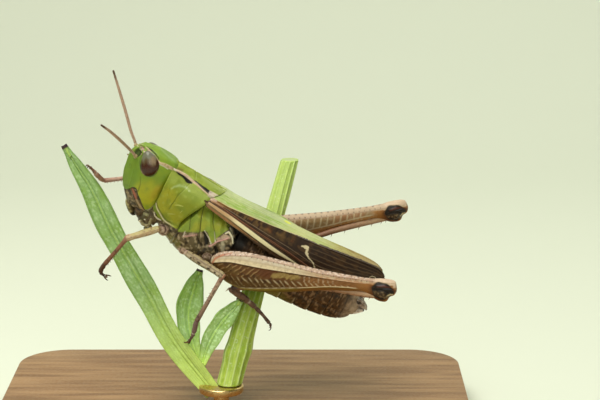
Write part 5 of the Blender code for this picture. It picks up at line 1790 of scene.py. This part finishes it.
# ---------------------------------------------------------------- room, light and camera
def stage_finish(name, colour, rough):
    mat = bpy.data.materials.new(name)
    mat.use_nodes = True
    shader = mat.node_tree.nodes["Principled BSDF"]
    shader.inputs["Base Color"].default_value = (*colour, 1)
    shader.inputs["Roughness"].default_value = rough
    return mat


def make_room():
    """A sheet of paper in metres, lying flat in front and bent up behind."""
    half, front, back, top, bend = .6, -.6, .2, .6, .1
    floor, arc = back - bend - front, bend * math.pi / 2
    whole = floor + arc + top - bend
    bm = bmesh.new()
    bmesh.ops.create_grid(bm, x_segments=1, y_segments=160, size=1)
    for point in bm.verts:
        run = (point.co.y + 1) / 2 * whole
        turn = min(max(run - floor, 0) / bend, math.pi / 2)
        reach = back - bend + bend * math.sin(turn) if run > floor else front + run
        height = bend - bend * math.cos(turn) + max(run - floor - arc, 0)
        point.co = (point.co.x * half, reach, height)
    mesh = new_mesh("backdrop", bm)
    mesh.shade_smooth()
    mesh.materials.append(stage_finish("backdrop_paper", (.72, .76, .63), .9))
    new_object("backdrop", mesh)


def add_light(name, place, target, size, power, colour=(1, 1, 1)):
    data = bpy.data.lights.new(name, "AREA")
    data.energy, data.size, data.color = power, size, colour
    lamp = new_object(name, data)
    lamp.location = place
    lamp.rotation_euler = (Vector(target) - Vector(place)).to_track_quat("-Z", "Y").to_euler()


def make_light():
    middle = (0, 0, .016)
    add_light("sky_light", (-.05, -.05, .2), middle, .14, .46, (1, .97, .92))
    add_light("front_fill", (-.02, -.2, .12), middle, .16, .15, (.98, 1, .94))
    add_light("back_rim", (.1, .12, .16), middle, .08, .08, (1, 1, .95))
    world = bpy.data.worlds.new("room_air")
    bpy.context.scene.world = world
    world.use_nodes = True
    air = world.node_tree.nodes["Background"]
    air.inputs["Color"].default_value = (.84, .9, .7, 1)
    air.inputs["Strength"].default_value = .26


def make_camera():
    data = bpy.data.cameras.new("view")
    data.lens, data.sensor_width = 120, 36
    data.clip_start, data.clip_end = .001, 10
    camera = new_object("view", data)
    camera.location = (.005, -.14868, .0502)
    camera.rotation_euler = (math.radians(78), 0, 0)
    bpy.context.scene.camera = camera


make_head()
make_antennae()
make_mouth()
make_pronotum()
make_thorax()
make_abdomen()
make_wings()
make_hind_legs()
make_walking_legs()
make_perch()
make_stand()
make_room()
make_light()
make_camera()
bpy.context.scene.view_settings.view_transform = "Standard"
